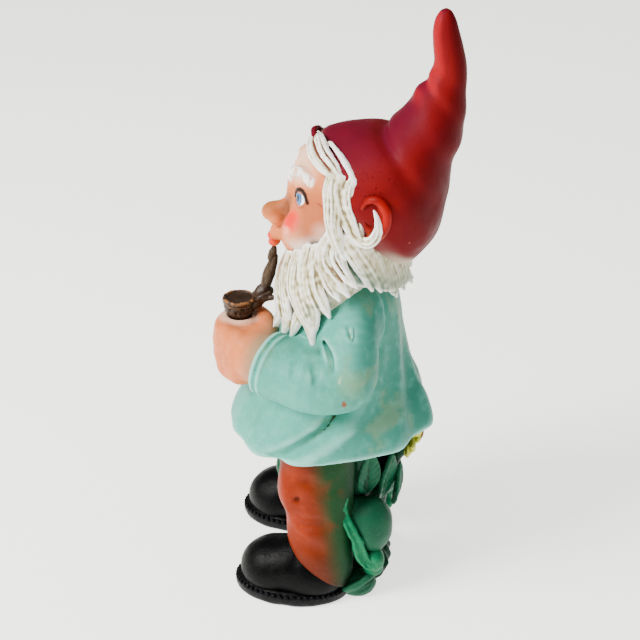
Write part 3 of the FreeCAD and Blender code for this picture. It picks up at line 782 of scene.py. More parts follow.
def coat_side(x, y, z, inset=0.0):
    """Distance outside the smock's side wall."""
    front, back, half = columns(z, COAT)
    middle, deep = (front + back) / 2, (back - front) / 2
    angle = np.degrees(np.arctan2(y - middle, x))
    return (oval(x, y - middle, half, deep) - fold_height(angle, z)) * 0.92 + inset


def hem_height(x, y):
    """Height of the hem, which rises to the back and waves a little."""
    turn = np.arctan2(y, x)
    return HEM_Z + HEM_RISE * y + 0.9 * np.sin(3 * turn + 0.6) + 0.5 * np.sin(5 * turn)


def build_smock(paint):
    clay = Clay((-76, -78, 100), (76, 74, 234), 1.15)
    x, y, z = clay.grid()
    body = soft_max(coat_side(x, y, z), z - COLLAR_Z, 5)
    body = soft_max(body, hem_height(x, y) - z, 2.2)
    hollow = soft_max(coat_side(x, y, z, 4.2), z - 131, 3)
    clay.field = soft_max(body, -hollow, 1.2) - 0.25 * noise(x, y, z, 9, 3)
    return clay_piece("smock_body", clay, paint, reach=14, polish=2)


# ---------------------------------------------------------------- arms and hands
LEFT_ARM = [(30, 14, 212, 13), (42, 15, 201, 16), (50, 14.5, 188, 18), (55, 12, 175, 18.5),
            (54, -6, 172, 19.5), (46, -24, 173, 20.3), (33, -54, 178, 20)]
RIGHT_ARM = [(-30, 14, 212, 13), (-42, 15, 201, 16), (-50, 16, 188, 17), (-54, 13, 173, 17.5),
             (-55, -4, 165, 17.5), (-51, -22, 160, 17.8), (-42, -48, 153, 17.5)]


def build_sleeve(name, arm, cuff, forward, paint, creases=()):
    """Sleeve growing out of the smock. cuff is the middle of its opening and forward the way it faces."""
    points = curve(arm, 22)
    forward = np.array(forward) / np.linalg.norm(forward)
    low, high = points[:, :3].min(0) - 30, points[:, :3].max(0) + 30
    clay = Clay(low, high, 1.05)
    x, y, z = clay.grid()
    limb = rope(points)[0](x, y, z)
    coat = soft_max(coat_side(x, y, z), z - COLLAR_Z, 5)
    join = np.interp(z, [182, 200], [2.2, 9.0])
    clay.field = soft_max(soft_min(limb, coat, join), limb - np.interp(z, [182, 200], [2.5, 7.0]), 2)
    for shape, blend in creases:
        clay.cut(shape, blend)
    ahead = (x - cuff[0]) * forward[0] + (y - cuff[1]) * forward[1] + (z - cuff[2]) * forward[2]
    away = (x - cuff[0]) ** 2 + (y - cuff[1]) ** 2 + (z - cuff[2]) ** 2
    axis_gap = np.sqrt(np.maximum(away - ahead ** 2, 0))
    radius = arm[-1][3]
    lip = np.sqrt((axis_gap - radius + 0.6) ** 2 + (ahead + 1.7) ** 2) - 1.9
    second = np.sqrt((axis_gap - radius - 0.3) ** 2 + (ahead + 6.4) ** 2) - 1.1
    gutter = np.sqrt((axis_gap - radius - 0.6) ** 2 + (ahead + 4.2) ** 2) - 0.9
    clay.field = soft_min(soft_min(clay.field, lip, 0.8), second, 1.6)
    clay.trim(-gutter, 0.7)
    clay.trim(ahead, 0.8)
    clay.trim(-np.maximum(axis_gap - radius + 3.4, -ahead - 6), 0.8)
    clay.trim(-(coat + 1.5), 0.5)
    clay.field = clay.field - 0.25 - 0.25 * noise(x, y, z, 9, 3)
    return clay_piece(name, clay, paint, reach=14, polish=2)


def left_sleeve_creases():
    out = []
    for line in ([(51, -19, 196), (61, -18, 192), (68, -19, 182)],
                 [(50, -9, 196), (62, -6, 193), (71, -4, 182)], [(47, 0, 198), (60, 4, 195), (66, 6, 189)]):
        out.append((rope(curve(line, 8), [2.2, 2.4, 2.6, 2.5, 2.2, 1.9, 1.4, 0.8]), 3.6))
    out.append((rope(curve([(53, 14, 212), (58, 17, 205), (61, 19, 197)], 6), 0.7), 2.6))
    return out


def build_left_hand(paint):
    clay = Clay((-16, -84, 140), (54, -22, 200), 0.9)
    clay.add(egg((11, -58.5, 167), (18.5, 17.5, 20.5)))
    for z, out in ((183, 0.0), (174.5, 1.2), (165.5, 1.2), (157, -0.4)):
        finger = curve([(26, -61, z, 6.0), (16, -71 - out, z, 6.4), (3, -74 - out, z, 6.4),
                        (-7, -70, z, 6.0), (-9, -61, z, 5.6)], 12)
        clay.add(rope(finger), 4.5)
    clay.roll([(24, -46, 172, 9), (13, -44, 181, 8), (4, -47, 187, 6.5), (-4, -53, 188, 5.6)], 12, 5)
    clay.add(rope([(22, -52, 170, 17.5), (33, -42, 174, 16.6), (44, -30, 175, 15.5)]), 6)
    ring = []
    for t in np.linspace(0, 2 * math.pi, 25):
        ring.append((3 + 9.6 * math.cos(t), -64 + 9.6 * math.sin(t), 188.6))
    clay.add(rope(ring, 1.9), 3)
    clay.cut(rope([(3, -64, 100), (3, -64, 230)], 8.0), 0.8)
    x, y, z = clay.grid()
    clay.trim(-soft_max(np.sqrt((x - 3) ** 2 + (y + 64) ** 2) - 11.5, 190.3 - z, 0.5), 0.5)
    clay.ruffle(10, 0.25, 8)
    return clay_piece("left_hand", clay, paint, polish=2)


def build_right_hand(paint):
    clay = Clay((-66, -78, 130), (-14, -16, 178), 0.9)
    clay.add(egg((-35, -55, 151), (13.5, 13, 11.5), ("Z", 32)))
    for k in range(4):
        start = (-41 + 3.6 * k, -58 - 1.2 * k, 157.5 - 4.4 * k)
        finger = curve([(*start, 5.0), (start[0] + 9, start[1] - 6.5, start[2] - 1, 4.9),
                        (start[0] + 18, start[1] - 4, start[2] - 2, 4.3)], 8)
        clay.add(rope(finger), 2.2)
    clay.roll([(-38, -46, 158, 6.5), (-30, -50, 163, 5.6), (-22, -56, 163, 4.8)], 8, 3)
    clay.add(rope([(-38, -52, 152, 12.5), (-47, -32, 157, 12.5)]), 5)
    x, y, z = clay.grid()
    clay.trim(-(coat_side(x, y, z) - 0.2), 0.5)
    clay.ruffle(10, 0.25, 8)
    return clay_piece("right_hand", clay, paint, polish=2)


# ---------------------------------------------------------------- head
SKULL = egg((0, 12, 279), (40, 43, 43))
EYE, EYE_R = (20.2, -13.0, 283.0), 10.0  # the left eyeball


def eyelid(side, rise, drop):
    """Points of a lid along the left or right eyeball, from the inner to the outer corner."""
    centre = np.array((side * EYE[0], EYE[1], EYE[2]))
    gaze = np.array((side * 0.60, -0.80, 0.08))
    gaze /= np.linalg.norm(gaze)
    up = np.array((0, 0.1, 1.0)) - gaze * np.dot((0, 0.1, 1.0), gaze)
    up /= np.linalg.norm(up)
    out = np.cross(gaze, up) * side
    points = []
    for t in np.linspace(-1, 1, 13):
        turn, tilt = math.radians(47 * t), math.radians((rise * (1 - t * t) ** 0.8) - drop * t)
        ray = (gaze * math.cos(turn) + out * math.sin(turn)) * math.cos(tilt) + up * math.sin(tilt)
        points.append(tuple(centre + ray * (EYE_R + 0.3)))
    return points


def build_head(paint):
    clay = Clay((-46, -56, 214), (46, 60, 326), 0.95)
    clay.add(SKULL)
    clay.add(egg((0, -14, 252), (25, 22, 18)), 6)
    for side in (1, -1):
        clay.cut(egg((side * 19, -30, 282.5), (9.5, 8.5, 7.5)), 5)
        clay.add(egg((side * 18, -18.5, 261.0), (14.5, 13.5, 13.5)), 3)
        brow = curve(mirrored([(10.5, -28, 292, 1.5), (16, -25, 298.5, 2.8), (22.5, -18.8, 300.5, 2.8),
                               (29.5, -12, 296.5, 1.3)], side), 12)
        clay.add(rope(brow), 3)
    clay.roll([(0, -26, 285, 4.6), (0, -26.4, 276, 5.0), (0, -31, 268, 5.8), (0, -38, 264.5, 6.2)], 10, 4)
    clay.add(egg((0, -41.3, 263.8), (7.8, 7.2, 6.4)), 1.6)
    for side in (1, -1):
        clay.add(egg((side * 5.4, -38, 261), (4.2, 5.2, 4.0)), 1.6)
        clay.cut(rope(mirrored([(3.2, -44.5, 257.0), (3.6, -41, 260.5)], side), 1.5), 0.6)
        clay.add(rope(eyelid(side, 42, 6), 1.1), 1.3)
        clay.add(rope(eyelid(side, -33, 6), 1.0), 1.3)
    clay.add(egg((0, -37.5, 251), (7.5, 5.5, 5.5)), 4)
    clay.add(egg((0, -40.6, 247.8), (6.6, 4.2, 2.8)), 1.4)
    clay.add(egg((0, -40.4, 243.2), (5.6, 4.0, 2.7)), 1.4)
    clay.cut(rope([(-6.5, -43, 245.2), (0, -45.6, 245.3), (6.5, -43, 245.2)], 0.55), 0.7)
    clay.add(rope([(0, 12, 216), (0, 12, 244)], 16.5), 2)
    clay.ruffle(11, 0.3, 4)
    clay_piece("head_shell", clay, paint)
    for side, name in SIDES:
        x, y, z = side * EYE[0], EYE[1], EYE[2]
        eye = Clay((x - 11, y - 11, z - 11), (x + 11, y + 11, z + 11), 0.55)
        eye.add(egg((x, y, z), (EYE_R, EYE_R, EYE_R)))
        clay_piece(name + "_eyeball", eye, eye_paint(side), node=None)


def build_hat(paint):
    rings = curve([  # front y, z, back y, z, half width
        (-13.5, 316.0, 46.5, 236.0, 44.2), (-8.0, 320.0, 53.5, 243.5, 45.6),
        (2.0, 323.2, 61.5, 254.5, 45.6), (12.0, 324.8, 66.6, 268.0, 43.4),
        (20.0, 324.8, 68.8, 283.0, 39.5), (27.0, 324.0, 69.6, 297.0, 34.5),
        (32.5, 328.0, 71.4, 307.0, 30.0), (37.5, 334.0, 75.2, 318.0, 25.3),
        (43.5, 343.0, 77.0, 330.0, 20.0), (48.5, 350.0, 77.4, 340.0, 16.0),
        (53.5, 355.5, 77.2, 348.5, 13.2), (56.0, 361.5, 77.0, 357.0, 11.6),
        (56.4, 369.0, 76.3, 366.0, 10.6), (55.8, 378.0, 74.0, 376.0, 9.5),
        (55.6, 385.5, 71.5, 384.5, 8.2), (56.8, 392.0, 69.3, 391.3, 6.4),
        (59.4, 396.4, 66.6, 396.2, 3.7), (61.8, 398.0, 64.2, 398.0, 1.2)], 230)
    level = np.linspace(0, 17, len(rings))
    turns = np.linspace(0, 2 * math.pi, 200, endpoint=False)
    v, u = np.meshgrid(level, turns, indexing="ij")
    sweep = (1 - np.cos(u)) / 2
    height = 0.0
    for start, drop, size, width in ((5.05, 1.5, -1.9, 0.6), (6.3, 2.0, 1.1, 0.8), (8.0, 2.2, -0.7, 0.6),
                                     (8.9, 2.2, 0.9, 0.7), (9.9, 2.0, -0.6, 0.45), (10.6, 2.0, 0.9, 0.6),
                                     (11.8, 1.8, -0.5, 0.6)):
        height = height + size * np.exp(-((v - start + drop * sweep) / width) ** 2) * (1 - 0.55 * sweep)
    front = np.stack([0 * rings[:, 0], rings[:, 0], rings[:, 1]], 1)
    back = np.stack([0 * rings[:, 0], rings[:, 2], rings[:, 3]], 1)
    middle, half = (front + back) / 2, (front - back) / 2
    reach = np.linalg.norm(half, axis=1)
    long = (reach[:, None] + height)[..., None] * (half / reach[:, None])[:, None, :]
    wide = (rings[:, 4][:, None] + height) * np.sin(u)
    grid = middle[:, None, :] + long * np.cos(u)[..., None]
    grid[..., 0] += wide
    lump = noise(grid[..., 0], grid[..., 1], grid[..., 2], 15, 6)[..., None]
    grid = middle[:, None, :] + (grid - middle[:, None, :]) * (1 + 0.018 * lump)
    rim = []
    for inset, lift in ((6.0, 3.0), (4.0, 0.6), (2.0, -0.9), (0.8, -0.8)):  # rolled edge
        shrink = 1 - inset / reach[0]
        step = np.cross(half[0] / reach[0], (1, 0, 0))
        rim.append(middle[0] + (grid[0] - middle[0]) * shrink - step * -lift)
    points = np.concatenate([np.array(rim), grid]).reshape(-1, 3)
    rows, columns = len(rim) + len(rings), len(turns)
    points = np.vstack([points, grid[-1].mean(0) + (0, 0, 0.4)])
    index = np.arange(rows * columns).reshape(rows, columns)
    ahead = np.roll(index, -1, axis=1)
    quads = np.stack([index[:-1], index[1:], ahead[1:], ahead[:-1]], -1).reshape(-1, 4)
    pairs = np.arange(0, columns, 2)
    tip = np.column_stack([index[-1][pairs], np.full(len(pairs), rows * columns),
                           index[-1][(pairs + 2) % columns], index[-1][(pairs + 1) % columns]])
    piece("hat_look", points, np.vstack([quads, tip]), "hat", paint, reach=20)
    roll = Clay((-22, -22, 306), (22, -4, 326), 0.7)
    roll.add(rope(curve([(-18, -11, 312, 1.2), (-9, -13, 317.4, 1.7), (1, -14.5, 320, 1.9),
                         (9, -13, 317.4, 1.7), (18, -11, 312, 1.4)], 16)))
    roll.ruffle(4, 0.4, 61)
    clay_piece("hat_front_roll", roll, hat_paint("hat_front"), node=None, reach=5)


def ribbon(clay, line, width, strands, core, seed=0, mirror=False):
    """Lock of hair along a line of (x, y, z, radius) points: a soft body with fine strands over it."""
    rng = np.random.RandomState(seed)
    guide = curve(line, 20)
    if mirror:
        guide = guide * (-1, 1, 1, 1)
    along = np.gradient(guide[:, :3], axis=0)
    out = guide[:, :3] - np.array(core)
    across = np.cross(along, out)
    across /= np.maximum(np.linalg.norm(across, axis=1), 1e-9)[:, None]
    out /= np.linalg.norm(out, axis=1)[:, None]
    t = np.linspace(0, 1, len(guide))
    spread = np.sin(np.pi * np.clip(0.16 + 0.84 * t, 0, 1)) ** 0.7
    thick = guide[:, 3]
    for side in np.linspace(-0.72, 0.72, max(strands - 1, 2)):
        path = guide[:, :3] + across * (side * width * spread)[:, None]
        clay.add(rope(np.column_stack([path, 0.86 * thick * (1 - 0.3 * abs(side))])), 2.0)
    count = max(int(round(1.25 * width)) + 1, 3)
    gap = 2.3 * width / (count - 1)
    for k in range(count):
        side = (k + rng.uniform(-0.2, 0.2)) / (count - 1) * 2 - 1
        wave = 0.16 * np.sin(np.pi * t * rng.uniform(1.0, 2.2) + rng.uniform(0, 6))
        lift = thick * (0.6 + rng.uniform(-0.1, 0.25)) * np.cos(0.5 * np.pi * side * 0.85)
        aside = ((side + wave) * width * 1.15 * spread)[:, None]
        path = guide[:, :3] + across * aside + out * lift[:, None]
        fine = 0.56 * gap * rng.uniform(0.85, 1.15) * (0.35 + 0.65 * thick / thick.max())
        clay.add(rope(np.column_stack([path, fine])), 0.18)


CORE = (0, 10, 262)
FRONT_LOCK = [  # line of (x, y, z, radius), half width, strands
    ([(4, -14, 317.5, 1.2), (13, -14, 316, 2.2), (24, -11, 312, 2.3), (32, -4, 307, 2.0),
      (37, 4, 303, 1.2)], 2.6, 3),
    ([(7, -11, 319, 1.2), (16, -8.5, 319.6, 2.2), (27, -4, 315.5, 2.3), (34, 3, 309, 2.0),
      (38, 7, 303, 1.2)], 2.4, 3),
    ([(20, -2, 319.5, 0.8), (29, 5, 315.5, 1.3), (35, 10.5, 310, 1.6), (39, 15, 304, 1.6),
      (40.5, 15.5, 298, 1.0)], 1.1, 2),
    ([(35, 3, 306, 1.6), (38.5, 1.5, 297, 2.6), (40.5, 2, 286, 3.0), (42, 3, 275, 3.0), (42.5, 6, 264, 2.6),
      (43, 10, 254, 1.1)], 4.4, 4),
    ([(37.5, 7, 305, 1.4), (40, 7, 295, 2.3), (41.5, 9, 285, 2.5), (42.5, 13, 274, 2.2),
      (43, 17, 265, 1.0)], 3.0, 3),
    ([(39.5, 14, 304, 1.4), (41.2, 12, 297, 2.2), (42.6, 13, 289, 2.5), (43.6, 16.5, 280, 2.5),
      (44.5, 19, 272, 2.3), (45, 20.5, 266, 1.2)], 2.8, 3),
    ([(42, 14, 271, 1.4), (45, 19.5, 267, 2.0), (47.8, 25, 267.5, 2.0), (49.8, 29.5, 272.5, 1.6),
      (50.6, 31, 279, 1.1), (50, 30, 285, 0.7), (48.5, 28, 289, 0.35)], 1.9, 3),
]


def build_lock(side, name, paint):
    clay = side_clay(side, (-6, -24, 250), (60, 40, 328), 0.66)
    for seed, (line, width, strands) in enumerate(FRONT_LOCK):
        if side < 0 and seed < 3:  # the parting sits lower on the right
            line = [(px, py, pz - 5, radius) for px, py, pz, radius in line]
        ribbon(clay, line, width, strands, CORE, seed + 3, side < 0)
    clay.ruffle(3.0, 0.22, 73)
    clay.trim(-(SKULL[0](*clay.grid()) + 1.2), 0.3)
    return clay_piece(name, clay, paint, reach=9, polish=0)


SIDE_BEARD = [  # from the cheek down to the tips, on the left side
    ([(38.5, 0, 268, 1.0), (40.5, -3, 259, 2.4), (41, -3, 250, 2.9), (43, 2, 243, 2.7),
      (45.5, 8, 236.5, 2.1), (47, 13, 231, 0.9)], 3.8, 4),
    ([(41, 6, 264, 1.0), (43, 5, 256, 2.4), (44.5, 8, 249, 2.6), (46.5, 13, 242.5, 2.1),
      (48, 19, 237, 0.8)], 3.0, 3),
    ([(25, -21, 250, 1.4), (31.5, -22, 240, 2.7), (36.5, -22, 228, 3.1), (40.5, -17, 215, 3.0),
      (43, -11, 203, 2.4), (44, -9, 192, 0.9)], 4.4, 4),
    ([(31, -14, 256, 1.4), (37, -15.5, 243, 2.7), (41, -14, 230, 3.0), (43, -9, 217, 2.7),
      (44, -9, 207, 2.0), (43.5, -11, 199, 0.8)], 4.0, 4),
    ([(35, -8, 258, 1.4), (40, -9.5, 245, 2.6), (43, -7, 233, 2.6), (45, -2, 222.5, 2.1),
      (45.5, 1, 215, 0.8)], 3.4, 4),
    ([(37, -4, 257, 1.4), (42, -3, 245, 2.5), (45, 2, 234.5, 2.2), (47, 7.5, 227.5, 0.8)], 2.8, 3),
    ([(20, -27, 246, 1.4), (25.5, -29.5, 234, 2.7), (29.5, -29.5, 221, 3.0), (31.5, -27.5, 208, 2.8),
      (30.5, -28, 199, 2.1), (28, -31, 190, 0.8)], 4.0, 4),
    ([(14.5, -31, 241, 1.3), (19, -33.5, 231, 2.4), (23.5, -34, 219, 2.8), (25, -33.5, 206, 2.5),
      (22, -35.5, 197, 1.8), (18, -38.5, 190.5, 0.7)], 3.2, 3),
    ([(10, -32, 237, 1.2), (12, -34.5, 227, 2.1), (15, -35.5, 216, 2.4), (15.5, -35.5, 205, 2.0),
      (12, -38, 196.5, 0.8)], 2.8, 3),
    ([(36, -13, 226, 1.8), (38, -17, 214, 2.5), (36, -21, 203, 2.2), (33, -25, 192.5, 0.8)], 2.8, 3),
    ([(4, -32, 233, 1.2), (5, -34.5, 223, 1.9), (5, -35, 212, 2.0), (3.5, -36.5, 201, 0.8)], 2.4, 3),
]


def build_beard(paint):
    clay = Clay((-58, -52, 180), (58, 26, 278), 0.72)
    clay.add(egg((0, -3, 226), (41.5, 30, 34)))
    clay.add(egg((0, -14, 206), (30, 19, 15)), 8)
    for side in (1, -1):
        for seed, (line, width, strands) in enumerate(SIDE_BEARD):
            ribbon(clay, line, width, strands, (0, 4, 230), seed + (20 if side > 0 else 50), side < 0)
    x, y, z = clay.grid()
    clay.trim(z - 262 - 0.25 * np.abs(x), 2)
    clay.trim(-(egg((0, -14, 254), (26, 26, 17))[0](x, y, z)), 2)
    clay.trim(-(SKULL[0](x, y, z) + 1.5), 0.5)
    clay.ruffle(3.2, 0.28, 71)
    path = np.array([(1.5, -47.5, 204), (1, -43.5, 221), (1, -40, 238)])
    clay.trim(-rope(path, 6.0)[0](x, y, z), 1.5)
    clay.trim(y - 20, 2)
    return clay_piece("beard", clay, paint, reach=9, polish=0)


def build_nape(paint):
    clay = Clay((-56, -2, 208), (56, 62, 276), 0.75)
    x, y, z = clay.grid()
    profile = curve([(212, -20, 40, 39), (222, -20, 41.5, 40), (234, -24, 42.5, 41), (248, -26, 43.5, 40.5),
                     (264, -26, 47, 40), (276, -26, 52, 39)], 40)
    front, back, half = columns(z, profile)
    middle, deep = (front + back) / 2, (back - front) / 2
    near = np.sqrt((x / half) ** 2 + ((y - middle) / deep) ** 2)
    clay.field = (near - 1) * np.minimum(half, deep)
    under = 237.0 - 0.30 * (y - 6)
    clay.trim(under - z, 2)
    for side in (1, -1):
        rng = np.random.RandomState(7 if side > 0 else 12)
        for k in range(15):
            start = math.radians(-12 + k * 5.4)
            turn = math.radians(rng.uniform(36, 44) * (1 - 0.05 * k))
            line = []
            for t, push, radius in ((0, 0.2, 2.2), (0.3, 0.5, 2.8), (0.65, 1.0, 2.6), (1.0, 1.8, 0.9)):
                b = start + turn * t ** 0.9
                top, low = 268 - 12 * max(math.sin(start), 0), 236.5 - 11 * max(math.sin(b), 0)
                line.append((side * (41.2 + push) * math.cos(b), 12 + (33.5 + push) * math.sin(b),
                             top + (low - top) * t, radius))
            ribbon(clay, line, 2.6, 3, (0, 12, 245), 200 + k + (40 if side < 0 else 0))
        for x0, lean in ((6, 3), (17, 6), (28, 9)):
            flick = [(side * x0, 43, 250, 1.6), (side * (x0 - 1), 44.5, 238, 2.8),
                     (side * (x0 - 2), 46.5, 229, 2.4), (side * (x0 - 3), 52 - lean / 3, 221.5, 0.8)]
            flick = [(px, py - lean * 0.9, pz, r) for px, py, pz, r in flick]
            ribbon(clay, flick, 3.0, 3, (0, 12, 245), 300 + x0 + (40 if side < 0 else 0))
    clay.ruffle(3.2, 0.28, 72)
    clay.trim(5 - y, 1)
    clay.trim(-(SKULL[0](x, y, z) + 3), 0.5)
    return clay_piece("nape_hair", clay, paint, reach=9, polish=0)


def build_ear(side, name, paint):
    clay = side_clay(side, (34, 12, 262), (60, 46, 302), 0.6)
    clay.add(egg((side * 42.5, 28, 281.5), (5.0, 8.0, 12.5)))
    helix = curve(mirrored([(44, 21, 288.5, 2.0), (46, 25, 294.0, 2.6), (47.5, 30.5, 294.5, 2.9),
                            (48.2, 34.8, 289, 3.0), (48, 35.4, 281.5, 3.0), (46.8, 32.5, 274, 3.0),
                            (45.2, 27.8, 269.5, 2.9), (44, 23, 268, 2.2)], side), 26)
    clay.add(rope(helix), 1.4)
    clay.cut(egg((side * 49.5, 26.5, 284.5), (6.4, 6.0, 8.6)), 1.2)
    clay.roll(mirrored([(44.5, 31, 290, 1.4), (44.3, 32, 283, 1.6), (44, 29, 276, 1.3)], side), 8, 1.5)
    return clay_piece(name, clay, paint, reach=10)


# ---------------------------------------------------------------- pipe
def pipe_distance(x, y):
    return np.sqrt((x - PIPE_AXIS[0]) ** 2 + (y - PIPE_AXIS[1]) ** 2)


def build_bowl(paint):
    clay = Clay((-10, -77, 140), (16, -51, 202), 0.5)
    x, y, z = clay.grid()
    r = pipe_distance(x, y)
    radius = np.interp(z, [141, 143, 152, 156, 190.4, 193.4, 197, 199.4],
                       [2.6, 3.8, 6.2, 7.55, 7.55, 9.9, 10.5, 10.4])
    bark = np.interp(z, [191.5, 194, 199], [0, 1, 1])
    turn = np.arctan2(y - PIPE_AXIS[1], x - PIPE_AXIS[0])
    grain = noise(turn * 6 + 40, z / 3.2, r * 0 + 3, 1.0, 9) + 0.7 * noise(turn * 13 + 40, z / 1.7,
                                                                           r * 0 + 8, 1.0, 10)
    low = np.interp(z, [140, 151, 153], [1, 1, 0])
    radius = radius + bark * 0.75 * np.minimum(grain, 0.35) + low * 0.35 * grain - bark * 0.25
    clay.field = soft_max(soft_max(r - radius, z - 199.2, 0.4), 142.3 - z, 2.5)
    return clay_piece("pipe_bowl", clay, paint, body="pipe", reach=5)


def build_rim(paint):
    clay = Clay((-11, -78, 196), (17, -50, 206), 0.45)
    x, y, z = clay.grid()
    r = pipe_distance(x, y)
    band = soft_max(soft_max(r - 11.0, np.abs(z - 201) - 2.1, 1.2), -(r - 2.0) - 60, 0.1)
    groove = np.sqrt((r - 11.2) ** 2 + (z - 200.2) ** 2) - 0.5
    dish = soft_max(r - 8.6, 200.7 + 0.02 * r ** 2 - z, 0.8)
    clay.field = soft_max(soft_max(band, -dish, 1.0), -groove, 0.5) - 0.22 * noise(x, y, z, 2.2, 12)
    return clay_piece("pipe_rim", clay, paint, body="pipe", reach=5)


JOINT = (2.0, -48.5, 206.0)
MOUTH_END = (1.0, -40.4, 238.8)


def build_shank(paint):
    clay = Clay((-8, -62, 188), (14, -38, 216), 0.5)
    clay.add(rope(curve([(3, -58, 196.5, 3.6), (3, -53.5, 199.5, 4.2), (2.4, -50.5, 203, 5.2),
                         (2, -48.3, 206.2, 5.6), (1.8, -47.2, 209, 4.6)], 14)))
    clay.cut(rope([(2, -64, 180), (2, -64, 220)], 10.2), 0.4)
    clay.ruffle(2.6, 0.5, 14)
    return clay_piece("pipe_shank", clay, paint, body="pipe", reach=5)


def build_stem(paint):
    x, y, z = JOINT
    line = curve([(x, y + 0.8, z + 2, 2.2), (x - 0.2, y + 2.6, z + 8, 3.6), (x - 0.4, y + 4.6, z + 15, 4.0),
                  (x - 0.8, y + 6.8, z + 22, 3.2), (x - 1, y + 8.0, z + 26.5, 2.4)], 20)
    clay = Clay((-7, -56, 204), (11, -34, 238), 0.5)
    clay.add(rope(line))
    clay.ruffle(4, 0.25, 16)
    return clay_piece("pipe_stem", clay, paint, body="pipe", reach=6)


def build_mouthpiece(paint):
    x, y, z = MOUTH_END
    clay = Clay((-7, -48, 226), (9, -32, 242), 0.45)
    clay.add(rope([(x + 0.3, y - 2.2, z - 7, 2.5), (x + 0.1, y - 1.0, z - 3, 2.7),
                   (x, y - 0.2, z - 0.4, 1.9)]))
    clay.ruffle(3, 0.15, 18)
    return clay_piece("pipe_mouthpiece", clay, paint, body="pipe", reach=6)


def build_cord(paint):
    x, y, z = JOINT
    clay = Clay((-10, -62, 194), (20, -32, 216), 0.45)
    for height, lean in ((-1.6, 0.5), (0.7, 0.28)):
        loop = []
        for t in np.linspace(0, 2 * math.pi, 25):
            loop.append((x + 6.2 * math.cos(t), y + 5.8 * math.sin(t),
                         z + height + lean * 5.8 * math.sin(t)))
        clay.add(rope(loop, 1.5), 0.6)
    clay.roll([(x + 2, y - 5, z - 4.5, 1.4), (x + 6.6, y - 1.5, z - 0.5, 1.7),
               (x + 5, y + 5, z + 3, 1.3)], 12, 0.5)
    clay.roll([(x + 4.6, y + 3.2, z - 0.6, 2.2), (x + 5.8, y + 7, z + 0.2, 1.9),
               (x + 6.4, y + 10.5, z + 1.6, 0.7)], 12, 0.8)
    clay.add(egg((x + 5.6, y + 2, z - 0.5), (2.4, 3.0, 2.8)), 1)
    return clay_piece("pipe_cord", clay, paint, body="pipe", reach=5)


# ---------------------------------------------------------------- legs and feet
LEG = curve([  # z, x, y, half width, half depth
    (6, 41.5, -3, 17, 18), (20, 41.5, -3, 18.5, 20), (34, 41, -4, 20.0, 21.5),
    (48, 40, -5, 20.3, 22.5), (64, 38.8, -5.5, 20.6, 23.2), (82, 37.2, -7.2, 21.2, 24.4),
    (100, 35, -7.6, 22, 25.2), (118, 32, -7.5, 23.3, 26.2), (136, 29.5, -7, 24, 27)], 60)


def leg_distance(x, y, z, side):
    px, py, wide, deep = columns(z, LEG)
    if side < 0:
        py = py - 8 * (1 - (z - 12) / 120)
    return oval(x - side * px, y - py, wide, deep) * 0.95


def build_leg(side, name, paint):
    low, high = ((4, -46, 4), (70, 32, 136)) if side > 0 else ((-70, -54, 4), (-4, 28, 136))
    clay = Clay(low, high, 1.1)
    x, y, z = clay.grid()
    clay.field = leg_distance(x, y, z, side)
    ahead = 0 if side > 0 else -4
    clay.add(egg((side * 43, -25 + ahead, 84), (13, 6.0, 12)), 9)
    clay.groove(mirrored([(60, -30 + ahead, 72), (58, -18 + ahead, 65), (60, -2, 66)], side), 8, 2.5, 8)
    clay.groove(mirrored([(58, -12, 98), (62, 2, 92), (58, 14, 90)], side), 8, 2.0, 8)
    clay.groove(mirrored([(50, -32 + ahead, 58), (58, -20 + ahead, 50), (62, -4, 47)], side), 8, 2.0, 8)
    clay.cut(egg((side * 57.5, -18.5 + ahead, 84), (2.4, 2.4, 2.4)), 2.2)
    cut_y = y if side > 0 else y + 8
    clay.trim(40.0 - 0.76 * (cut_y + 27) - z, 2)
    clay.trim(z - 134, 1)
    clay.trim(9.6 - z, 1)
    clay.ruffle(12, 0.5, 22 + side)
    return clay_piece(name, clay, paint, reach=12, polish=2)


STITCHES = 54  # notches round the welt


def foot_place(side):
    """Middle of the foot and the angle of its toe; the right foot stands further forward."""
    return ((40, -25), math.radians(-6)) if side > 0 else ((-43, -35), math.radians(-8))


def to_foot(x, y, side):
    (mx, my), angle = foot_place(side)
    return turned(x - mx, y - my, angle)


def foot_outline(fx, fy, grow):
    length = 37.0 + grow
    wide = 22.0 - 1.6 * np.clip(fy / length, -1, 1) + grow
    return oval(fx, fy, wide, length)


def build_shoe(side, name, paint):
    (mx, my), _ = foot_place(side)
    clay = Clay((mx - 34, my - 50, 4), (mx + 34, my + 50, 54), 0.95)
    x, y, z = clay.grid()
    fx, fy = to_foot(x, y, side)
    toe = egg((0, -11.5, 16), (22.2, 23.8, 20.5))[0](fx, fy, z)
    instep = egg((0, 5, 19), (20.3, 23, 21.5))[0](fx, fy, z)
    heel = egg((0, 15, 14), (20.2, 22, 17.5))[0](fx, fy, z)
    clay.field = soft_min(soft_min(toe, instep, 6), heel, 8)
    crease = np.sqrt((fy - 4 - 0.25 * (z - 20)) ** 2 + (np.minimum(clay.field, 0)) ** 2 * 0.2)
    clay.field = clay.field + 0.9 * np.exp(-(crease / 3.5) ** 2) * np.clip((z - 20) / 15, 0, 1)
    clay.trim(8.2 - z, 1.5)
    clay.ruffle(13, 0.45, 30 + side)
    return clay_piece(name, clay, paint, reach=10, polish=2)


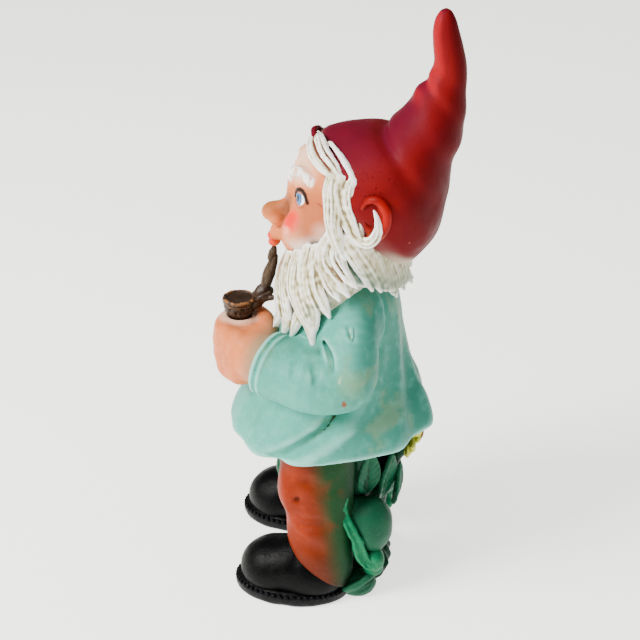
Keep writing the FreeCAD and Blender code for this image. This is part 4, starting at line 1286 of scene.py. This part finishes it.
def build_sole(side, name, paint):
    (mx, my), angle = foot_place(side)
    clay = Clay((mx - 34, my - 48, -2), (mx + 34, my + 48, 13), 0.8)
    x, y, z = clay.grid()
    fx, fy = to_foot(x, y, side)
    edge = foot_outline(fx, fy, np.interp(z, [0, 3, 7, 9], [1.6, 2.7, 2.9, 2.1]))
    clay.field = soft_max(soft_max(edge, z - 9.2, 1.6), 0.0 - z, 1.4)
    inner = np.abs(foot_outline(fx, fy, 0.2)) - 0.9
    clay.trim(-soft_max(inner, 7.8 - z, 0.6), 0.8)
    for k in range(STITCHES):
        t = 2 * math.pi * k / STITCHES
        ox, oy = turned((23.4 - 1.6 * math.sin(t)) * math.cos(t), 38.4 * math.sin(t), -angle)
        wx, wy = mx + ox, my + oy
        clay.cut(rope([(wx, wy, 7.4), (wx + 0.06 * (wx - mx), wy + 0.06 * (wy - my), 10)], 0.95), 0.4)
    clay.ruffle(9, 0.25, 33)
    return clay_piece(name, clay, paint, reach=5, polish=0)


# ---------------------------------------------------------------- plant
STALK = [(0, 24, 12, 9), (0, 26, 40, 8), (-1, 31, 66, 7), (-1, 38, 84, 6), (-1.5, 51, 99, 4.2)]


def build_plant(paints):
    # deep is the darker copy of the leaf paint: painted shade.
    dome, rim, deep, stem = paints["dome"], paints["rim"], paints["deep"], paints["stem"]
    clay = Clay((-44, -10, -2), (44, 54, 22), 1.1)
    clay.add(egg((0, 20, 0), (35, 19, 14)))
    for k in range(9):
        a = math.radians(10 + 20 * k)
        end = (32 * math.cos(a), 20 + 19 * math.sin(a), 4)
        clay.roll([(0, 20, 15, 3), (end[0] * 0.6, 22 + (end[1] - 22) * 0.6, 12, 3), (*end, 1.5)], 8, 3)
    clay.ruffle(7, 0.8, 40)
    clay.trim(-clay.grid()[2], 0.6)
    clay_piece("ground_clump", clay, deep)

    for side, name in SIDES:
        leaf = side_clay(side, (8, 0, 20), (58, 50, 90), 0.95)
        leaf.add(egg((side * 34, 27.5, 52), (15.4, 15.6, 22.0), ("X", -6)))
        leaf.add(egg((side * 34, 16, 56), (13.5, 12, 17)), 5)
        leaf.groove(mirrored([(47, 15, 66), (49, 19, 57), (49.5, 24, 46), (47, 28, 36)], side), 10, 1.6, 3)
        leaf.trim(-(leg_distance(*leaf.grid(), side) + 1.0), 0.5)
        leaf.ruffle(9, 0.5, 42 + side)
        clay_piece(name + "_leaf", leaf, dome, reach=10)

        edge = side_clay(side, (36, 4, 14), (62, 46, 86), 0.7)
        line = curve(mirrored([(46.5, 13, 84, 1.4), (48, 11.5, 77, 2.6), (48.5, 12.5, 68, 3.0),
                               (50.5, 16.5, 60, 3.0), (51, 20.5, 52, 3.6), (50.5, 22.5, 44, 4.2),
                               (49.5, 24.5, 36.5, 4.4), (47.5, 29, 29.5, 4.4),
                               (43, 33.5, 26, 3.0)], side), 30)
        edge.add(rope(line))
        fold = line[:, :3] + np.array([side * 1.2, -1.6, 0.4])
        edge.add(rope(np.column_stack([fold, line[:, 3] * 0.62])), 1.0)
        inner = line[:, :3] + np.array([side * 3.4, 1.2, 0.0])
        edge.cut(rope(np.column_stack([inner, line[:, 3] * 0.45])[6:-4]), 1.6)
        edge.ruffle(5, 0.7, 45)
        clay_piece(name + "_leaf_rim", edge, rim)

        tip = side_clay(side, (24, 18, 8), (56, 52, 42), 0.75)
        tip.add(egg((side * 43, 31.5, 31), (8.2, 7.4, 8.4), ("X", 14)))
        tip.groove(mirrored([(50, 26.5, 38), (51, 30.5, 33), (50, 33.5, 26)], side), 8, 1.2, 2.5)
        tip.add(egg((side * 38, 31, 21), (8, 7, 6)), 3)
        tip.ruffle(5, 0.5, 46)
        clay_piece(name + "_leaf_tip", tip, rim)

        ground = side_clay(side, (14, 2, -2), (58, 50, 26), 0.8)
        ground.add(egg((side * 38.5, 20, 6), (10.5, 13.5, 9), ("Z", side * 20)))
        ground.cut(egg((side * 45.5, 24, 19), (4.5, 8, 8), ("Z", side * 20)), 1.5)
        lip = curve(mirrored([(48.5, 10, 6, 1.6), (50, 16, 9.5, 2.2), (48.5, 23, 13, 2.6),
                              (44.5, 29.5, 17, 2.3), (39, 33, 20, 1.6)], side), 14)
        ground.add(rope(lip), 2.0)
        ground.groove(mirrored([(51, 14, 4), (49.5, 22, 6), (44, 30, 9)], side), 8, 0.7, 1.5)
        ground.ruffle(5, 0.6, 47)
        ground.trim(-ground.grid()[2], 0.6)
        clay_piece(name + "_ground_leaf", ground, dome)

    stalk = Clay((-14, 10, 10), (14, 56, 106), 1.0)
    stalk.roll(STALK, 16)
    line = curve(STALK, 60)
    for k in range(5):  # leaf scars
        row = line[np.argmin(abs(line[:, 2] - (24 + 15 * k)))]
        a = 2.4 * k
        start = row[:3] + np.array([row[3] * math.cos(a), row[3] * math.sin(a), 0])
        stalk.add(rope([(*start, 2.6), (*(start + (0, 0, 9)), 1.2)]), 2)
    stalk.ruffle(5, 0.5, 48)
    clay_piece("flower_stalk", stalk, deep)

    backing = Clay((-36, 2, 50), (36, 40, 120), 1.1)
    backing.add(egg((0, 18, 84), (33, 12, 30)))
    for side in (1, -1):
        backing.add(egg((side * 26, 20, 92), (7, 7, 20), ("Y", side * 12)), 2)
        backing.trim(-(leg_distance(*backing.grid(), side) + 1.0), 0.5)
    backing.ruffle(6, 0.9, 50)
    clay_piece("leaf_backing", backing, deep, node=None)

    blades = [((15, 36, 79), (10, 4.2, 21), -16, -24), ((-16, 36, 79), (10, 4.2, 21), -16, 24),
              ((5, 43, 68), (8.5, 3.8, 18), -10, -6), ((28, 25, 90), (8.5, 4.6, 19), -12, -52),
              ((-29, 25, 90), (8.5, 4.6, 19), -12, 52)]
    for number, (centre, size, lean, turn) in enumerate(blades, 1):
        build_blade("upper_leaf_%d" % number, centre, size, lean, turn, stem)

    front = Clay((-54, -52, 30), (-8, -22, 84), 0.85)
    for centre, size, turn in (((-29, -42, 54), (10, 4.4, 15), 8), ((-20, -39, 66), (8, 3.8, 11), -14),
                               ((-37, -40, 67), (7, 3.6, 13), 24)):
        front.add(egg(centre, size, ("Y", turn)), 0.8)
        front.cut(rope([(centre[0], centre[1] - size[1] - 0.4, centre[2] - size[2] * 0.8),
                        (centre[0], centre[1] - size[1] - 0.4, centre[2] + size[2] * 0.8)], 0.9), 1.0)
    front.ruffle(6, 0.4, 49)
    clay_piece("front_leaf", front, dome)


def build_blade(name, centre, size, lean, turn, paint):
    """Pointed leaf with a midrib and side veins."""
    reach = max(size) + 8
    centre = np.array(centre, float)
    clay = Clay(centre - reach, centre + reach, 0.8)
    x, y, z = clay.grid(centre)
    lx, ly = turned(x, y, math.radians(turn))
    ly, lz = turned(ly, z, math.radians(lean))
    wide, thick, long = size
    t = np.clip(lz / long, -1, 1)
    outline = wide * (1 - t * t) ** 0.75 * (1 - 0.25 * t) + 0.4
    bend = 2.2 * (lx / wide) ** 2 - 1.2 * t
    rib = 1.5 * np.exp(-(lx / 1.0) ** 2)
    veins = 0.45 * np.cos((lz - np.abs(lx) * 1.1) * 1.15) * np.clip(np.abs(lx) / 2, 0, 1)
    sheet = np.abs(ly - bend) - (thick * 0.45 - rib * 0.2 + veins * 0.5) + rib * 0.6
    sheet = soft_max(sheet, (np.abs(lx) - outline) * 0.8, 2.2)
    clay.field = soft_max(sheet, np.abs(lz) - long, 1.5)
    return clay_piece(name, clay, paint, reach=7)


FLOWER_TILT = math.radians(-112)


def build_flower(petals, middle):
    centre = np.array((-2.0, 52.5, 105.0))
    clay = Clay(centre - 26, centre + 26, 0.7)
    x, y, z = clay.grid(centre)
    ly, lz = turned(y, z, FLOWER_TILT)
    r = np.sqrt(x ** 2 + ly ** 2)
    turn = np.arctan2(ly, x)
    field = soft_max(r - 8, np.abs(lz + 0.4) - 1.8, 1.0)
    for count, reach, lift, offset in ((9, 18.5, 0.6, 0.0), (9, 15.5, 2.2, 0.35)):  # outer and inner ring
        part = (turn + offset) / (2 * math.pi) * count
        near = (part - np.round(part)) / count * 2 * math.pi
        along, across = r * np.cos(near), r * np.sin(near)
        t = np.clip(along / reach, 0, 1)
        wide = 4.9 * np.sin(np.pi * np.clip(0.12 + 0.86 * t, 0, 1)) ** 0.6
        cup = lift + 1.6 * t ** 2 - 0.09 * across ** 2 - 0.5 * np.exp(-(across / 0.8) ** 2)
        petal = soft_max(np.abs(lz - cup) - 1.25, (np.abs(across) - wide) * 0.8, 1.0)
        petal = soft_max(petal, along - reach, 1.5)
        field = soft_min(field, petal, 0.4)
    clay.field = field
    clay_piece("flower_petals", clay, petals, reach=6)

    eye = Clay(centre - 12, centre + 16, 0.6)
    x, y, z = eye.grid(centre)
    ly, lz = turned(y, z, FLOWER_TILT)
    dome = egg((0, 0, 2.6), (6.5, 6.5, 4.4))[0](x, ly, lz)
    angle = np.arctan2(ly, x)
    seeds = np.cos(angle * 9 + np.sqrt(x ** 2 + ly ** 2) * 1.6) * np.cos(np.sqrt(x ** 2 + ly ** 2) * 2.6)
    eye.field = dome - 0.4 * seeds
    clay_piece("flower_eye", eye, middle, reach=5)


# ---------------------------------------------------------------- the figure
smock_look = smock_paint().done()
sleeve_look = sleeve_paint()
build_smock(smock_look)
build_sleeve("left_sleeve", LEFT_ARM, (39, -40, 176), (-0.395, -0.903, 0.17), sleeve_look,
             left_sleeve_creases())
build_sleeve("right_sleeve", RIGHT_ARM, (-46, -37, 156), (0.31, -0.93, -0.22), sleeve_look)
hands = hand_paint()
build_left_hand(hands)
build_right_hand(hands)
build_head(face_paint())
build_hat(hat_paint())
locks = lock_paint()
ears = ear_paint()
for side, name in SIDES:
    build_lock(side, name + "_hair_lock", locks)
    build_ear(side, name + "_ear", ears)
build_beard(beard_paint())
build_nape(nape_paint())

bark = pipe_paint("pipe_bark")
build_bowl(bark)
build_rim(pipe_paint("pipe_rim", worn=True))
build_shank(bark)
build_cord(bark)
stem_look = stem_paint()
build_stem(stem_look)
build_mouthpiece(stem_look)

trousers = trouser_paint()
shoes = shoe_paint()
for side, name in SIDES:
    build_leg(side, name + "_trouser_leg", trousers)
    build_shoe(side, name + "_shoe", shoes)
    build_sole(side, name + "_sole", shoes)
seat = frame["nodes"]["trouser_seat"]
seat.data.materials.clear()
seat.data.materials.append(trousers.material)

build_plant({
    "dome": leaf_paint("leaf_dome", (32, 92, 68), (20, 72, 52), (56, 118, 88)),
    "rim": leaf_paint("leaf_rim", (20, 118, 80), (14, 90, 62), (70, 160, 118)),
    # Painted shade: a darker copy of the leaf paint for the parts between and behind the legs.
    "deep": leaf_paint("leaf_shaded", (16, 66, 46), (8, 42, 28), (34, 94, 66)),
    "stem": leaf_paint("leaf_upper", (28, 96, 70), (14, 62, 44), (62, 124, 94)),
})
build_flower(flower_paint(), flower_eye_paint())

# ---------------------------------------------------------------- floor, light and camera
bpy.ops.mesh.primitive_plane_add(size=8)
floor = bpy.context.object
floor.name = "floor"
floor_paint = Paint("leaf_paint", (246, 247, 240), 0.6, "floor", gloss=0.0)
floor_paint.coat(floor_paint.cloud(600, 0.3, 0.7), (240, 243, 238), 0.6)
floor_paint.shader.inputs["Emission Color"].default_value = (1.0, 1.0, 0.97, 1.0)
floor_paint.shader.inputs["Emission Strength"].default_value = 1.7
floor.data.materials.append(floor_paint.done().material)

world = bpy.data.worlds.new("studio")
world.use_nodes = True
world.node_tree.nodes["Background"].inputs[0].default_value = (1.0, 0.99, 0.94, 1)
world.node_tree.nodes["Background"].inputs[1].default_value = 0.3
bpy.context.scene.world = world


def lamp(name, place, target, size, watts, colour=(1, 1, 1)):
    data = bpy.data.lights.new(name, "AREA")
    data.shape, data.size, data.energy, data.color = "SQUARE", size, watts, colour
    made = bpy.data.objects.new(name, data)
    made.location = place
    made.rotation_euler = (Vector(target) - Vector(place)).to_track_quat("-Z", "Y").to_euler()
    bpy.context.scene.collection.objects.link(made)


lamp("key", (0.75, -1.15, 1.25), (0, 0, 0.2), 0.7, 62, (1.0, 0.98, 0.95))
lamp("sky", (0.3, -0.3, 1.8), (0, 0, 0.1), 1.4, 12)
lamp("back", (0.3, 1.5, 0.9), (0, 0, 0.2), 1.0, 1.5, (0.92, 0.97, 1.0))

camera_data = bpy.data.cameras.new("camera")
camera_data.lens = 78.98
camera_data.sensor_width = 36
camera_data.shift_y = -0.0188
camera = bpy.data.objects.new("camera", camera_data)
bearing, down = math.radians(98), math.radians(27.5)
camera.location = (0.8044, 0.1025, 0.620)
ahead = Vector((-math.sin(bearing) * math.cos(down), math.cos(bearing) * math.cos(down), -math.sin(down)))
camera.rotation_euler = ahead.to_track_quat("-Z", "Y").to_euler()
bpy.context.scene.collection.objects.link(camera)
bpy.context.scene.camera = camera
